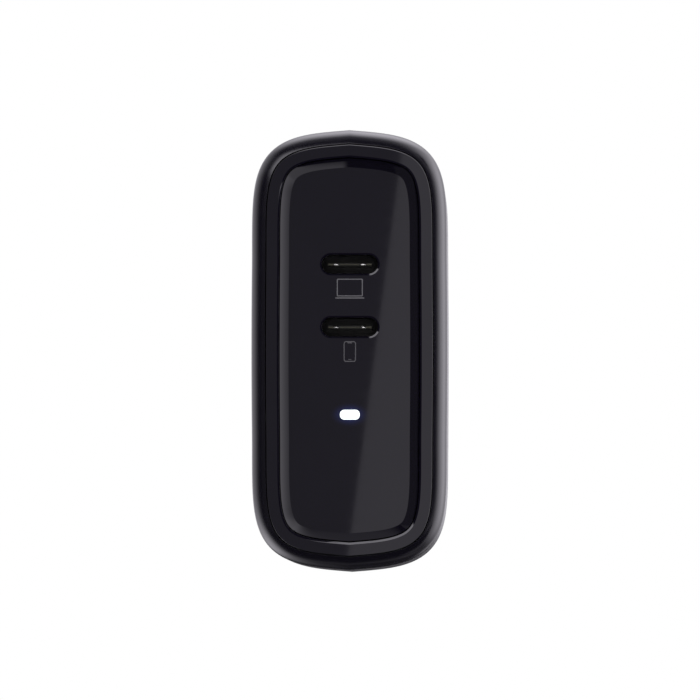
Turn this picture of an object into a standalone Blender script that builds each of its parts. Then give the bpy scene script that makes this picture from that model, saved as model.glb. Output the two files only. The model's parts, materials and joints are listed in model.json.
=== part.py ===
"""USB wall charger: a deep, slim moulded housing with a dished port face and a folding two-blade plug.

Lengths are in millimetres here and in metres in the scene. +Z is up, the port face looks along -Y,
and the flat back that meets the wall lies in the plane Y = 0.
"""

import math

import bmesh
import bpy
import numpy as np
from mathutils import Matrix, Vector

MM = 0.001

# Overall housing
WIDTH = 29.43
HEIGHT = 66.05
DEPTH = 60.0
CAP = 19.7  # height of each rounded end, from where the straight side stops
SIDE_BOW = 0.08  # how much the straight side leans in by the start of the rounded end
RIDGE = 0.078  # slope of each half of the top and bottom, so a soft ridge runs down the middle
CAP_POWER_X = 3.66
CAP_POWER_Z = 4.53
QUARTER_POINTS = 17

# Clearances
SEAT = 0.3  # between a piece and what carries it
RUN = 0.35  # between the plug carrier and its bearing
TRIM = 0.15  # between visible moulded trims

# Main shell
WALL = 2.0
LIP_INSET = 2.1  # where the front edge rounding meets the ring
LIP_RADIUS = 2.83
LIP_END = math.radians(15)  # slope that is left where the rounding meets the ring
SHELL_BACK = -3.0
SHOULDER_INSET = 3.4
SHOULDER_FRONT = -DEPTH + 5.9
SHOULDER_BACK = -DEPTH + 9.7

# Bezel ring and dished port panel
RING_IN = 3.85
DISH_SLOPE = 0.66  # depth of the dish wall's even slope
DISH_CURL = 0.39  # depth that its steep outer edge adds
PANEL_EDGE = -DEPTH + 0.4  # front edge of the dish
PANEL_FACE = PANEL_EDGE + DISH_SLOPE + DISH_CURL  # flat floor of the dish
PANEL_BACK = -DEPTH + 2.6
PANEL_FLAT = 5.6  # inset of the flat floor
PANEL_SHELF = PANEL_BACK + SEAT
LINER = 6.4

# Ports and indicator, as heights above the middle
PORT_Z = (13.0, 3.57)
PORT_W, PORT_H = 9.1, 3.4
USB_W, USB_H = 8.94, 3.26
USB_IN_W, USB_IN_H = 8.34, 2.56
TONGUE_W, TONGUE_T = 6.69, 0.7
LED_Z = -9.55
LED_W, LED_H, LED_R = 3.1, 1.6, 0.7

# Folding plug
AXIS_Y, AXIS_Z = -3.6, 8.0
BLOCK_HALF = WIDTH / 2 - 3.4  # half width of the block that carries the plug
PIN_R, PIN_END = 1.5, BLOCK_HALF - 0.6
BARREL_R, BARREL_HALF = 3.3, PIN_END - 1.7
BLADE_X = 6.35  # half of the 12.7 mm spacing
BLADE_T, BLADE_W, BLADE_REACH = 1.5, 6.35, 20.1
TANG_W = 3.6
COVER_FACE = -2.7
BLOCK_FACE = -9.0
RETAINER = (-10.6, -9.3)
SPRING_TAIL = RETAINER[0] - 2.0
SCREW_X, SCREW_Z = 3.4, 2.9

# Boards
BOARD_THICK = 1.4
PORT_BOARD = (-DEPTH + 10.0, -DEPTH + 11.2)
BOARD_X = (WALL - WIDTH / 2 + 1.7, WALL - WIDTH / 2 + 1.7 + BOARD_THICK)
FRONT, REAR = PORT_BOARD[1] + SEAT, RETAINER[0] - 2.4  # ends of the main board
TOP_OF_BOARD = BOARD_X[1] + SEAT
RAIL_GRIP = 1.1  # how far each rail reaches over the edge of the main board
SPREADER_THICK = 0.7
SPREADER_X = WIDTH / 2 - WALL - 0.5  # outer face of the heat spreader

MATERIALS = {
    "housing_plastic": ((0.016, 0.015, 0.019), 0.34, 0.0),
    "bezel_plastic": ((0.018, 0.017, 0.021), 0.3, 0.0),
    "panel_gloss": ((0.017, 0.016, 0.02), 0.16, 0.0),
    "light_pipe": ((0.9, 0.92, 0.95), 0.25, 0.0),
    "connector_steel": ((0.16, 0.16, 0.17), 0.3, 1.0),
    "connector_plastic": ((0.02, 0.02, 0.02), 0.5, 0.0),
    "circuit_board": ((0.02, 0.11, 0.05), 0.45, 0.0),
    "chip_epoxy": ((0.02, 0.02, 0.022), 0.5, 0.0),
    "ferrite": ((0.06, 0.06, 0.065), 0.6, 0.0),
    "bobbin_plastic": ((0.03, 0.03, 0.03), 0.5, 0.0),
    "winding_tape": ((0.65, 0.5, 0.05), 0.45, 0.0),
    "copper": ((0.72, 0.36, 0.2), 0.3, 1.0),
    "capacitor_sleeve": ((0.02, 0.03, 0.07), 0.4, 0.0),
    "film_capacitor": ((0.6, 0.5, 0.12), 0.5, 0.0),
    "disc_capacitor": ((0.05, 0.16, 0.4), 0.4, 0.0),
    "fuse_ceramic": ((0.75, 0.73, 0.68), 0.35, 0.0),
    "sheet_insulation": ((0.75, 0.76, 0.78), 0.5, 0.0),
    "spreader_aluminium": ((0.75, 0.76, 0.78), 0.35, 1.0),
    "plug_plastic": ((0.016, 0.015, 0.019), 0.4, 0.0),
    "blade_nickel": ((0.72, 0.7, 0.66), 0.25, 1.0),
    "spring_bronze": ((0.7, 0.45, 0.25), 0.3, 1.0),
    "screw_steel": ((0.55, 0.55, 0.57), 0.3, 1.0),
    "retainer_plastic": ((0.05, 0.05, 0.055), 0.5, 0.0),
    "lead_sleeve": ((0.75, 0.75, 0.72), 0.5, 0.0),
}


def clear_scene():
    for obj in list(bpy.data.objects):
        bpy.data.objects.remove(obj, do_unlink=True)


def material(name):
    found = bpy.data.materials.get(name)
    if found:
        return found
    colour, roughness, metallic = MATERIALS[name]
    made = bpy.data.materials.new(name)
    made.use_nodes = True
    shader = made.node_tree.nodes["Principled BSDF"]
    shader.inputs["Base Color"].default_value = (*colour, 1.0)
    shader.inputs["Roughness"].default_value = roughness
    shader.inputs["Metallic"].default_value = metallic
    made.diffuse_color = (*colour, 1.0)
    return made


def quarter_curve():
    """One quarter of the outline from the middle of the side to the ridge, with outward normals."""
    half_w, half_h = WIDTH / 2, HEIGHT / 2
    end = half_h - CAP
    u = np.linspace(0.0, 1.0, 300)[:-1]
    side = np.column_stack([half_w - SIDE_BOW * u**2, end * u])
    t = np.linspace(0.0, math.pi / 2, 6000)
    x = (half_w - SIDE_BOW) * np.cos(t).clip(0) ** (2 / CAP_POWER_X)
    z = end + (CAP - RIDGE * x) * np.sin(t) ** (2 / CAP_POWER_Z)
    curve = np.vstack([side, np.column_stack([x, z])])
    steps = np.diff(curve, axis=0)
    length = np.hypot(steps[:, 0], steps[:, 1])
    keep = np.concatenate([[True], length > 1e-6])
    curve = curve[keep]
    steps = np.diff(curve, axis=0)
    length = np.hypot(steps[:, 0], steps[:, 1])
    angle = np.unwrap(np.arctan2(steps[:, 1], steps[:, 0]))
    turn = np.concatenate([[0.0], np.abs(np.diff(angle))])
    measure = np.concatenate([[0.0], np.cumsum(0.3 * length / length.sum() + 0.7 * turn / turn.sum())])
    wanted = np.linspace(0.0, measure[-1], QUARTER_POINTS)
    points = np.column_stack([np.interp(wanted, measure, curve[:, k]) for k in (0, 1)])
    heading = np.interp(wanted, 0.5 * (measure[1:] + measure[:-1]), angle)
    normals = np.column_stack([np.sin(heading), -np.cos(heading)])
    normals[0] = (1.0, 0.0)
    normals[-1] = (0.0, math.sqrt(1 + RIDGE**2))
    return points, normals


QUARTER = quarter_curve()


def outline(inset):
    """The whole outline, counter-clockwise from +X as seen from the port side, moved in by inset."""
    points, normals = QUARTER
    quarter = points - inset * normals
    quarter[0, 1] = 0.0
    quarter[-1, 0] = 0.0
    upper_left = quarter[:-1][::-1] * (-1, 1)
    lower_left = quarter[1:] * (-1, -1)
    lower_right = quarter[1:-1][::-1] * (1, -1)
    return np.vstack([quarter, upper_left, lower_left, lower_right])


def cavity_height(x, inset=WALL):
    """Height above the middle of the outline moved in by inset, at a distance x from the middle."""
    points, normals = QUARTER
    inner = (points - inset * normals)[::-1]
    return float(np.interp(abs(x), inner[:, 0], inner[:, 1]))


# The main board's upper and lower edges follow the housing; the components keep to these edges.
BOARD_TOP = cavity_height(BOARD_X[0]) - 2.6
BOARD_LOW = -BOARD_TOP


def add_object(name, mesh, slot, smooth=True):
    obj = bpy.data.objects.new(name, mesh)
    bpy.context.scene.collection.objects.link(obj)
    if slot:
        mesh.materials.append(material(slot))
    if smooth:
        mesh.shade_smooth()
        mesh.set_sharp_from_angle(angle=math.radians(35))
    return obj


def finish(bm, name, slot, smooth=True):
    bmesh.ops.recalc_face_normals(bm, faces=bm.faces)
    bmesh.ops.scale(bm, vec=(MM, MM, MM), verts=bm.verts)
    mesh = bpy.data.meshes.new(name)
    bm.to_mesh(mesh)
    bm.free()
    return add_object(name, mesh, slot, smooth)


def loft(name, rings, slot, closed=False):
    """Rings of equal length joined by faces: closed makes a ring-shaped body, open fills both ends."""
    bm = bmesh.new()
    grid = [[bm.verts.new(point) for point in ring] for ring in rings]
    count = len(grid[0])
    pairs = list(zip(grid, grid[1:]))
    if closed:
        pairs.append((grid[-1], grid[0]))
    for a, b in pairs:
        for i in range(count):
            j = (i + 1) % count
            bm.faces.new((a[i], a[j], b[j], b[i]))
    if not closed:
        bm.faces.new(grid[0])
        bm.faces.new(grid[-1])
    return finish(bm, name, slot)


def around(profile):
    """Rings that follow the housing outline, from (inset, y) pairs."""
    return [[(x, y, z) for x, z in outline(inset)] for inset, y in profile]


def rounded_rect(width, height, radius, corner=6):
    """Points of a rounded rectangle in a plane, counter-clockwise, round the origin."""
    points = []
    for sx, sz, start in ((1, 1, 0), (-1, 1, 90), (-1, -1, 180), (1, -1, 270)):
        for k in range(corner + 1):
            angle = math.radians(start + 90 * k / corner)
            points.append(
                (
                    sx * (width / 2 - radius) + radius * math.cos(angle),
                    sz * (height / 2 - radius) + radius * math.sin(angle),
                )
            )
    merged = []
    for point in points:
        if not merged or math.dist(point, merged[-1]) > 1e-6:
            merged.append(point)
    if math.dist(merged[0], merged[-1]) < 1e-6:
        merged.pop()
    return merged


def stadium(width, height, corner=6):
    return rounded_rect(width, height, height / 2, corner)


def place(points, plane, level, centre=(0.0, 0.0)):
    """Flat points put in a plane of the scene: 'y' takes them as (x, z), 'x' as (y, z), 'z' as (x, y)."""
    a0, b0 = centre
    if plane == "y":
        return [(a + a0, level, b + b0) for a, b in points]
    if plane == "x":
        return [(level, a + a0, b + b0) for a, b in points]
    return [(a + a0, b + b0, level) for a, b in points]


def prism(name, points, plane, low, high, slot, centre=(0.0, 0.0)):
    return loft(name, [place(points, plane, low, centre), place(points, plane, high, centre)], slot)


def sleeve(name, outer, inner, plane, low, high, slot, centre=(0.0, 0.0)):
    """A straight tube between two flat outlines with the same number of points."""
    rings = [
        place(outer, plane, low, centre),
        place(outer, plane, high, centre),
        place(inner, plane, high, centre),
        place(inner, plane, low, centre),
    ]
    return loft(name, rings, slot, closed=True)


def box(name, low, high, slot, bevel=0.0):
    bm = bmesh.new()
    bmesh.ops.create_cube(bm, size=1.0)
    size = [h - l for l, h in zip(low, high)]
    middle = [(h + l) / 2 for l, h in zip(low, high)]
    bmesh.ops.scale(bm, vec=size, verts=bm.verts)
    bmesh.ops.translate(bm, vec=middle, verts=bm.verts)
    if bevel:
        bmesh.ops.bevel(bm, geom=bm.edges[:], offset=bevel, segments=1, affect="EDGES", profile=0.5)
    return finish(bm, name, slot)


def circle(radius, count=24, start=0.0):
    step = 2 * math.pi / count
    return [
        (radius * math.cos(start + k * step), radius * math.sin(start + k * step))
        for k in range(count)
    ]


def turned(name, profile, centre, axis, slot, count=24):
    """A round body about an axis ('x', 'y' or 'z') through centre, from (radius, distance) pairs."""
    rings = []
    for radius, along in profile:
        flat = circle(radius, count)
        if axis == "x":
            rings.append([(centre[0] + along, centre[1] + a, centre[2] + b) for a, b in flat])
        elif axis == "y":
            rings.append([(centre[0] + a, centre[1] + along, centre[2] + b) for a, b in flat])
        else:
            rings.append([(centre[0] + a, centre[1] + b, centre[2] + along) for a, b in flat])
    return loft(name, rings, slot)


def ribbon(name, path, thickness, low_x, high_x, slot):
    """A flat strip bent along (y, z) points."""
    path = [Vector(point) for point in path]
    upper, lower = [], []
    for k, point in enumerate(path):
        before = (point - path[k - 1]).normalized() if k else None
        after = (path[k + 1] - point).normalized() if k + 1 < len(path) else None
        if before is None or after is None:
            along = after if before is None else before
            stretch = 1.0
        else:
            along = (before + after).normalized()
            stretch = 1 / max(0.5, along.dot(after))
        side = Vector((-along.y, along.x)) * (thickness / 2 * stretch)
        upper.append(point + side)
        lower.append(point - side)
    loop = upper + lower[::-1]
    return prism(name, [tuple(p) for p in loop], "x", low_x, high_x, slot)


def helper(obj):
    obj.hide_render = True
    obj.display_type = "WIRE"
    return obj


def boolean(obj, other, operation="DIFFERENCE"):
    modifier = obj.modifiers.new(f"{operation.lower()}_{other.name}", "BOOLEAN")
    modifier.operation = operation
    modifier.solver = "EXACT"
    modifier.object = helper(other)
    return modifier


def cut(obj, other):
    return boolean(obj, other, "DIFFERENCE")


def join(obj, other):
    return boolean(obj, other, "UNION")


def re_origin(obj, point):
    """Moves the object's origin to a point, leaving its shape where it is."""
    shift = Vector(point) * MM
    obj.data.transform(Matrix.Translation(-shift))
    obj.location = shift


def lip_arc(steps=6):
    """Front edge rounding of the shell, from the side to the ring."""
    points = []
    for k in range(steps + 1):
        angle = math.pi / 2 + (LIP_END - math.pi / 2) * k / steps
        inset = LIP_INSET * (1 - math.sin(angle)) / (1 - math.sin(LIP_END))
        points.append((inset, -DEPTH + LIP_RADIUS * (math.cos(LIP_END) - math.cos(angle))))
    return points


def dish_depth(u):
    """Height of the dish wall above its floor, from 0 at its outer edge to 1 at the floor."""
    return DISH_SLOPE * (1 - u) + DISH_CURL * (1 - u) ** 5.5


def make_main_shell():
    profile = [(0.0, SHELL_BACK - 0.3), *lip_arc()]
    profile += [
        (LIP_INSET, SHOULDER_FRONT),
        (SHOULDER_INSET, SHOULDER_FRONT),
        (SHOULDER_INSET, SHOULDER_BACK),
        (WALL, SHOULDER_BACK),
        (WALL, SHELL_BACK),
        (0.3, SHELL_BACK),
    ]
    shell = loft("main_shell", around(profile), "housing_plastic", closed=True)
    for side, sign in (("top", 1), ("bottom", -1)):
        for where, low, high in (
            ("outer", BOARD_X[0] - SEAT - 1.2, BOARD_X[0] - SEAT),
            ("inner", BOARD_X[1] + SEAT, BOARD_X[1] + SEAT + 1.0),
        ):
            reach = cavity_height(high) + 0.6
            ends = sorted((sign * (BOARD_TOP - RAIL_GRIP), sign * reach))
            rail = box(
                f"rail_{side}_{where}",
                (low, FRONT, ends[0]),
                (high, REAR, ends[1]),
                None,
            )
            join(shell, rail)
    return shell


def make_front():
    bezel = [
        (LIP_INSET + TRIM, -DEPTH + 0.15),
        (LIP_INSET + TRIM + 0.15, -DEPTH),
        (RING_IN - 0.12, -DEPTH),
        (RING_IN, -DEPTH + 0.12),
        (RING_IN, PANEL_SHELF),
        (LINER, PANEL_SHELF),
        (LINER, PANEL_SHELF + 1.4),
        (RING_IN + 0.4, PANEL_SHELF + 1.4),
        (RING_IN + 0.4, SHOULDER_FRONT - SEAT),
        (LIP_INSET + TRIM, SHOULDER_FRONT - SEAT),
    ]
    loft("front_bezel", around(bezel), "bezel_plastic", closed=True)

    edge = RING_IN + TRIM
    profile = [(edge, PANEL_BACK), (edge, PANEL_EDGE + 0.08), (edge + 0.08, PANEL_EDGE)]
    start = edge + 0.14
    for u in (0.0, 0.07, 0.16, 0.29, 0.5, 1.0):
        profile.append((start + (PANEL_FLAT - start) * u, PANEL_FACE - dish_depth(u)))
    panel = loft("port_panel", around(profile), "panel_gloss")
    through = -DEPTH, -DEPTH + 4.0
    for k, z in enumerate(PORT_Z):
        points = stadium(PORT_W, PORT_H)
        cut(panel, prism(f"port_cutter_{k}", points, "y", *through, None, (0.0, z)))
    window = rounded_rect(LED_W + 2 * TRIM, LED_H + 2 * TRIM, LED_R + TRIM)
    cut(panel, prism("led_cutter", window, "y", *through, None, (0.0, LED_Z)))

    face = rounded_rect(LED_W, LED_H, LED_R)
    flange = rounded_rect(LED_W + 1.6, LED_H + 1.6, LED_R + 0.8)
    tail = rounded_rect(LED_W - 0.4, LED_H - 0.2, LED_R - 0.15)
    steps = (
        (face, PANEL_FACE + 0.02),
        (face, PANEL_BACK + SEAT),
        (flange, PANEL_BACK + SEAT),
        (flange, PANEL_BACK + SEAT + 0.8),
        (tail, PANEL_BACK + SEAT + 0.8),
        (tail, PORT_BOARD[0] - 1.1),
    )
    rings = [place(points, "y", y, (0.0, LED_Z)) for points, y in steps]
    loft("light_pipe", rings, "light_pipe")
    box(
        "led_chip",
        (-0.8, PORT_BOARD[0] - SEAT - 0.6, LED_Z - 0.4),
        (0.8, PORT_BOARD[0] - SEAT, LED_Z + 0.4),
        "chip_epoxy",
    )


def make_port(name, z):
    front = PANEL_BACK + SEAT
    back = PORT_BOARD[0] - SEAT
    outer = stadium(USB_W, USB_H)
    inner = stadium(USB_IN_W, USB_IN_H)
    sleeve(f"usb_c_shell_{name}", outer, inner, "y", front, back, "connector_steel", (0.0, z))
    gap = 0.1
    base = stadium(USB_IN_W - 2 * gap, USB_IN_H - 2 * gap)
    root = [(x * 0.9, h * 0.62) for x, h in base]
    tongue = rounded_rect(TONGUE_W, TONGUE_T, 0.12)
    tip = rounded_rect(TONGUE_W - 0.3, TONGUE_T - 0.45, 0.05)
    blade_root = PORT_BOARD[0] - SEAT - 1.6
    insert = prism(f"usb_c_insert_{name}", base, "y", blade_root, back, "connector_plastic", (0.0, z))
    rings = [
        place(tip, "y", front + 0.75, (0.0, z)),
        place(tongue, "y", front + 1.0, (0.0, z)),
        place(tongue, "y", blade_root + 0.6, (0.0, z)),
    ]
    join(insert, loft(f"tongue_{name}", rings, None))
    shoulder = place(root, "y", blade_root - 1.2, (0.0, z)), place(root, "y", blade_root + 0.5, (0.0, z))
    join(insert, loft(f"tongue_root_{name}", list(shoulder), None))


def make_boards():
    plate = around([(WALL + 0.5, PORT_BOARD[0]), (WALL + 0.5, PORT_BOARD[1])])
    loft("port_board", plate, "circuit_board")
    box("main_board", (BOARD_X[0], FRONT, BOARD_LOW), (BOARD_X[1], REAR, BOARD_TOP), "circuit_board")
    sheet_x = BOARD_X[0] - 0.95
    sheet_z = cavity_height(sheet_x - 0.4) - 2.35
    sheet_low = (sheet_x - 0.4, FRONT + 1.5, -sheet_z)
    box("insulating_sheet", sheet_low, (sheet_x, REAR - 1.0, sheet_z), "sheet_insulation")
    low, high, outer, turned_in = BOARD_LOW + 4.0, BOARD_TOP - 1.6, SPREADER_X, SPREADER_X - 3.2
    inner = outer - SPREADER_THICK
    spreader = [(turned_in, low), (outer, low), (outer, high), (turned_in, high)]
    spreader += [(turned_in, high - SPREADER_THICK), (inner, high - SPREADER_THICK)]
    spreader += [(inner, low + SPREADER_THICK), (turned_in, low + SPREADER_THICK)]
    prism("heat_spreader", spreader, "y", FRONT + 2.0, REAR - 3.0, "spreader_aluminium")
    on_board("board_header", (0.0, 2.2), (BOARD_TOP - 16.0, BOARD_TOP - 4.0), 2.5, "connector_plastic")
    on_board("gan_switch_ic", (0.5, 8.3), (BOARD_LOW + 23.5, BOARD_TOP - 18.0), 0.9, "chip_epoxy", 0.12)
    controller_z = LED_Z - 5.95
    back = PORT_BOARD[0] - SEAT
    low, high = (-2.5, back - 0.9, controller_z - 2.5), (2.5, back, controller_z + 2.5)
    box("pd_controller_ic", low, high, "chip_epoxy", 0.12)


def on_board(name, y_range, z_range, tall, slot, bevel=0.0):
    """A box-shaped component on the main board; y_range counts from the board's front edge."""
    low = (TOP_OF_BOARD, FRONT + y_range[0], z_range[0])
    high = (TOP_OF_BOARD + tall, FRONT + y_range[1], z_range[1])
    return box(name, low, high, slot, bevel)


def make_transformer():
    """It fills the room between the output capacitors, the rear row and the bulk capacitors."""
    low_y, high_y = FRONT + 9.5, REAR - 8.0
    low_z, high_z = BOARD_LOW + 13.0, BOARD_TOP - 17.0
    y, z = (low_y + high_y) / 2, (low_z + high_z) / 2
    flange_y, half_z = high_y - low_y, (high_z - low_z) / 2
    half_y = flange_y / 3
    leg, window = 0.275 * half_z, 0.45 * half_z
    deep, back = 4.8, 2.2
    bottom = TOP_OF_BOARD
    middle = bottom + back + deep
    flat = [
        (-half_z, -back - deep),
        (half_z, -back - deep),
        (half_z, 0.0),
        (half_z - leg, 0.0),
        (half_z - leg, -deep),
        (half_z - leg - window, -deep),
        (half_z - leg - window, 0.0),
    ]
    lower = flat + [(-a, b) for a, b in flat[2:]][::-1]
    for name, sign, level in (("lower", 1, middle), ("upper", -1, middle + SEAT)):
        points = [(level + sign * b, z + a) for a, b in lower]
        prism(f"transformer_core_{name}", points, "y", y - half_y, y + half_y, "ferrite")
    centre = (y, z)
    leg_z = half_z - leg - window
    low = bottom + back + SEAT
    high = middle + SEAT + deep - SEAT
    hole = rounded_rect(2 * (half_y + SEAT), 2 * (leg_z + SEAT), 0.3, 2)
    tube = rounded_rect(2 * (half_y + SEAT + 0.6), 2 * (leg_z + SEAT + 0.6), 0.8, 2)
    flange = rounded_rect(flange_y, 2 * (leg_z + window - SEAT), 1.0, 2)
    rings = []
    for points, x in (
        (hole, low),
        (flange, low),
        (flange, low + 0.8),
        (tube, low + 0.8),
        (tube, high - 0.8),
        (flange, high - 0.8),
        (flange, high),
        (hole, high),
    ):
        rings.append(place(points, "x", x, centre))
    loft("transformer_bobbin", rings, "bobbin_plastic", closed=True)
    inner = rounded_rect(2 * (half_y + SEAT + 0.8), 2 * (leg_z + SEAT + 0.8), 0.9, 3)
    outer = rounded_rect(flange_y - 0.6, 2 * (leg_z + window - SEAT - 0.3), 2.0, 3)
    sleeve("transformer_winding", outer, inner, "x", low + 1.0, high - 1.0, "winding_tape", centre)


def can(name, y, z, radius, tall, slot):
    profile = [
        (radius - 0.5, 0.0),
        (radius, 0.5),
        (radius, 1.6),
        (radius - 0.45, 2.1),
        (radius, 2.6),
        (radius, tall - 0.5),
        (radius - 0.5, tall),
    ]
    turned(name, profile, (TOP_OF_BOARD, y, z), "x", slot, 20)


def torus_part(name, centre, ring_r, tube_r, start, end, steps, slot, hole_r=None, count=12):
    """A ring or part of one about X. With hole_r it is a hollow sleeve round a thinner ring."""
    closed = abs(end - start) >= 360
    total = steps if closed else steps + 1
    rings = []
    for k in range(total):
        angle = math.radians(start + (end - start) * k / steps)
        out = Vector((0.0, math.cos(angle), math.sin(angle)))
        base = Vector(centre) + ring_r * out
        ring = [tuple(base + a * out + Vector((b, 0.0, 0.0))) for a, b in circle(tube_r, count)]
        rings.append(ring)
    if hole_r is None:
        return loft(name, rings, slot, closed=closed)
    bm = bmesh.new()
    shells = []
    for radius in (tube_r, hole_r):
        grid = []
        for k in range(total):
            angle = math.radians(start + (end - start) * k / steps)
            out = Vector((0.0, math.cos(angle), math.sin(angle)))
            base = Vector(centre) + ring_r * out
            points = [base + a * out + Vector((b, 0.0, 0.0)) for a, b in circle(radius, count)]
            grid.append([bm.verts.new(point) for point in points])
        shells.append(grid)
        for a, b in zip(grid, grid[1:]):
            for i in range(count):
                j = (i + 1) % count
                bm.faces.new((a[i], a[j], b[j], b[i]))
    for end_index in (0, -1):
        a, b = shells[0][end_index], shells[1][end_index]
        for i in range(count):
            j = (i + 1) % count
            bm.faces.new((a[i], a[j], b[j], b[i]))
    return finish(bm, name, slot)


def make_components():
    x0 = TOP_OF_BOARD
    spare = 1.5
    can_r = (REAR - 8.25 - (FRONT + 2.75) - spare) / 4
    can_z = BOARD_TOP - 2.7 - can_r
    tall = SPREADER_X - SPREADER_THICK - SEAT - x0
    can("bulk_capacitor_1", REAR - 8.25 - can_r, can_z, can_r, tall, "capacitor_sleeve")
    can("bulk_capacitor_2", FRONT + 2.75 + can_r, can_z, can_r, tall, "capacitor_sleeve")
    can("output_capacitor_1", FRONT + 5.2, BOARD_LOW + 17.0, 3.75, 12.0, "capacitor_sleeve")
    can("output_capacitor_2", FRONT + 5.2, BOARD_LOW + 8.0, 3.75, 12.0, "capacitor_sleeve")

    run = REAR - FRONT
    row = run - 7.3, run - 1.8
    on_board("x_capacitor", row, (BOARD_LOW + 14.5, BOARD_TOP - 23.5), 11.0, "film_capacitor", 0.4)
    row = run - 6.0, run - 2.5
    on_board("bridge_rectifier", row, (BOARD_TOP - 22.0, BOARD_TOP - 15.0), 6.0, "chip_epoxy", 0.2)
    # The inductor and the rectifier share the row between the output capacitors and the choke.
    start, end = 9.9, run - 14.0
    row = start, start + 0.55 * (end - start)
    on_board("output_inductor", row, (BOARD_LOW + 1.6, BOARD_LOW + 8.0), 4.0, "ferrite", 0.4)
    row = start + 0.63 * (end - start), end
    on_board("sync_rectifier_ic", row, (BOARD_LOW + 1.6, BOARD_LOW + 6.6), 1.0, "chip_epoxy", 0.12)
    fuse = [(1.9, 0.0), (2.25, 0.35), (2.25, 8.65), (1.9, 9.0)]
    turned("fuse", fuse, (x0 + 2.25, REAR - 3.4, BOARD_TOP - 12.0), "z", "fuse_ceramic", 16)
    disc = [(2.7, 0.0), (3.5, 0.5), (3.5, 1.9), (2.7, 2.4)]
    disc_y = (FRONT + 9.0 + REAR - 12.9) / 2  # midway between the output capacitors and the choke
    turned("y_capacitor", disc, (x0 + 3.5, disc_y, BOARD_LOW + 8.8), "z", "disc_capacitor", 20)

    y, z = REAR - 7.0, BOARD_LOW + 7.5
    box("choke_base", (x0, y - 4.6, z - 4.6), (x0 + 1.0, y + 4.6, z + 4.6), "bobbin_plastic", 0.2)
    ring = (x0 + 1.0 + SEAT + 2.3, y, z)
    torus_part("choke_core", ring, 3.6, 1.5, 0, 360, 24, "ferrite")
    torus_part("choke_winding_1", ring, 3.6, 2.3, 20, 160, 10, "copper", 1.5 + SEAT)
    torus_part("choke_winding_2", ring, 3.6, 2.3, 200, 340, 10, "copper", 1.5 + SEAT)


def make_back_cover():
    arc = []
    for k in range(5):
        angle = math.pi / 2 * k / 4
        arc.append((1.2 * (1 - math.cos(angle)), -1.2 * (1 - math.sin(angle))))
    profile = [(2.3, -6.0), (2.3, COVER_FACE), (0.25, COVER_FACE), (0.0, COVER_FACE + 0.25), *arc]
    cover = loft("back_cover", around(profile), "housing_plastic")
    cut(cover, loft("cover_pocket", around([(3.8, -10.0), (3.8, -3.0)]), None))
    block_low, block_high = (-BLOCK_HALF, BLOCK_FACE, -14.6), (BLOCK_HALF, -2.0, 13.8)
    join(cover, box("plug_block", block_low, block_high, None))
    hole = BARREL_R + RUN
    low = (-BARREL_HALF - RUN, BLOCK_FACE - 2, AXIS_Z - hole)
    high = (BARREL_HALF + RUN, 2.0, AXIS_Z + hole)
    cut(cover, box("carrier_window", low, high, None))
    cradle = PIN_R + RUN
    points = [(AXIS_Y + cradle * math.cos(a), AXIS_Z + cradle * math.sin(a)) for a in arc_angles(-90, 90, 10)]
    points += [(BLOCK_FACE - 2, AXIS_Z + cradle), (BLOCK_FACE - 2, AXIS_Z - cradle)]
    cut(cover, prism("pin_cradle", points, "x", -PIN_END - RUN, PIN_END + RUN, None))
    for side, sign in (("right", 1), ("left", -1)):
        centre = sign * BLADE_X
        half = BLADE_T / 2 + RUN + 0.1
        low = (centre - half, AXIS_Y - BLADE_W / 2 - RUN, AXIS_Z - BLADE_REACH - 0.6)
        high = (centre + half, 2.0, AXIS_Z + BLADE_W / 2 + RUN)
        cut(cover, box(f"blade_slot_{side}", low, high, None))
    scoop = circle(9.0, 40)
    scoop_half = BLOCK_HALF - 1.1
    cut(cover, prism("finger_scoop", scoop, "x", -scoop_half, scoop_half, None, (6.4, -9.0)))
    for sign, side in ((1, "right"), (-1, "left")):
        deep = BLOCK_FACE + 4.5
        bore = circle(0.8 + SEAT, 12)
        cut(cover, prism(f"pilot_{side}", bore, "y", BLOCK_FACE - 2, deep, None, (sign * SCREW_X, SCREW_Z)))
    return cover


def arc_angles(start, end, steps):
    return [math.radians(start + (end - start) * k / steps) for k in range(steps + 1)]


def blade_outline():
    """Blade side view as (distance along, distance across), from the contact nose to the tip."""
    half = BLADE_W / 2
    tip = BLADE_REACH
    upper = [(-3.2, 0.8), (-2.2, 0.8), (-2.2, TANG_W / 2), (0.8, TANG_W / 2), (0.8, half)]
    for k in range(5):
        angle = math.pi / 2 * k / 4
        upper.append((tip - 1.7 + 1.7 * math.sin(angle), half - 1.2 + 1.2 * math.cos(angle)))
    return upper + [(a, -b) for a, b in upper][::-1]


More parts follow.
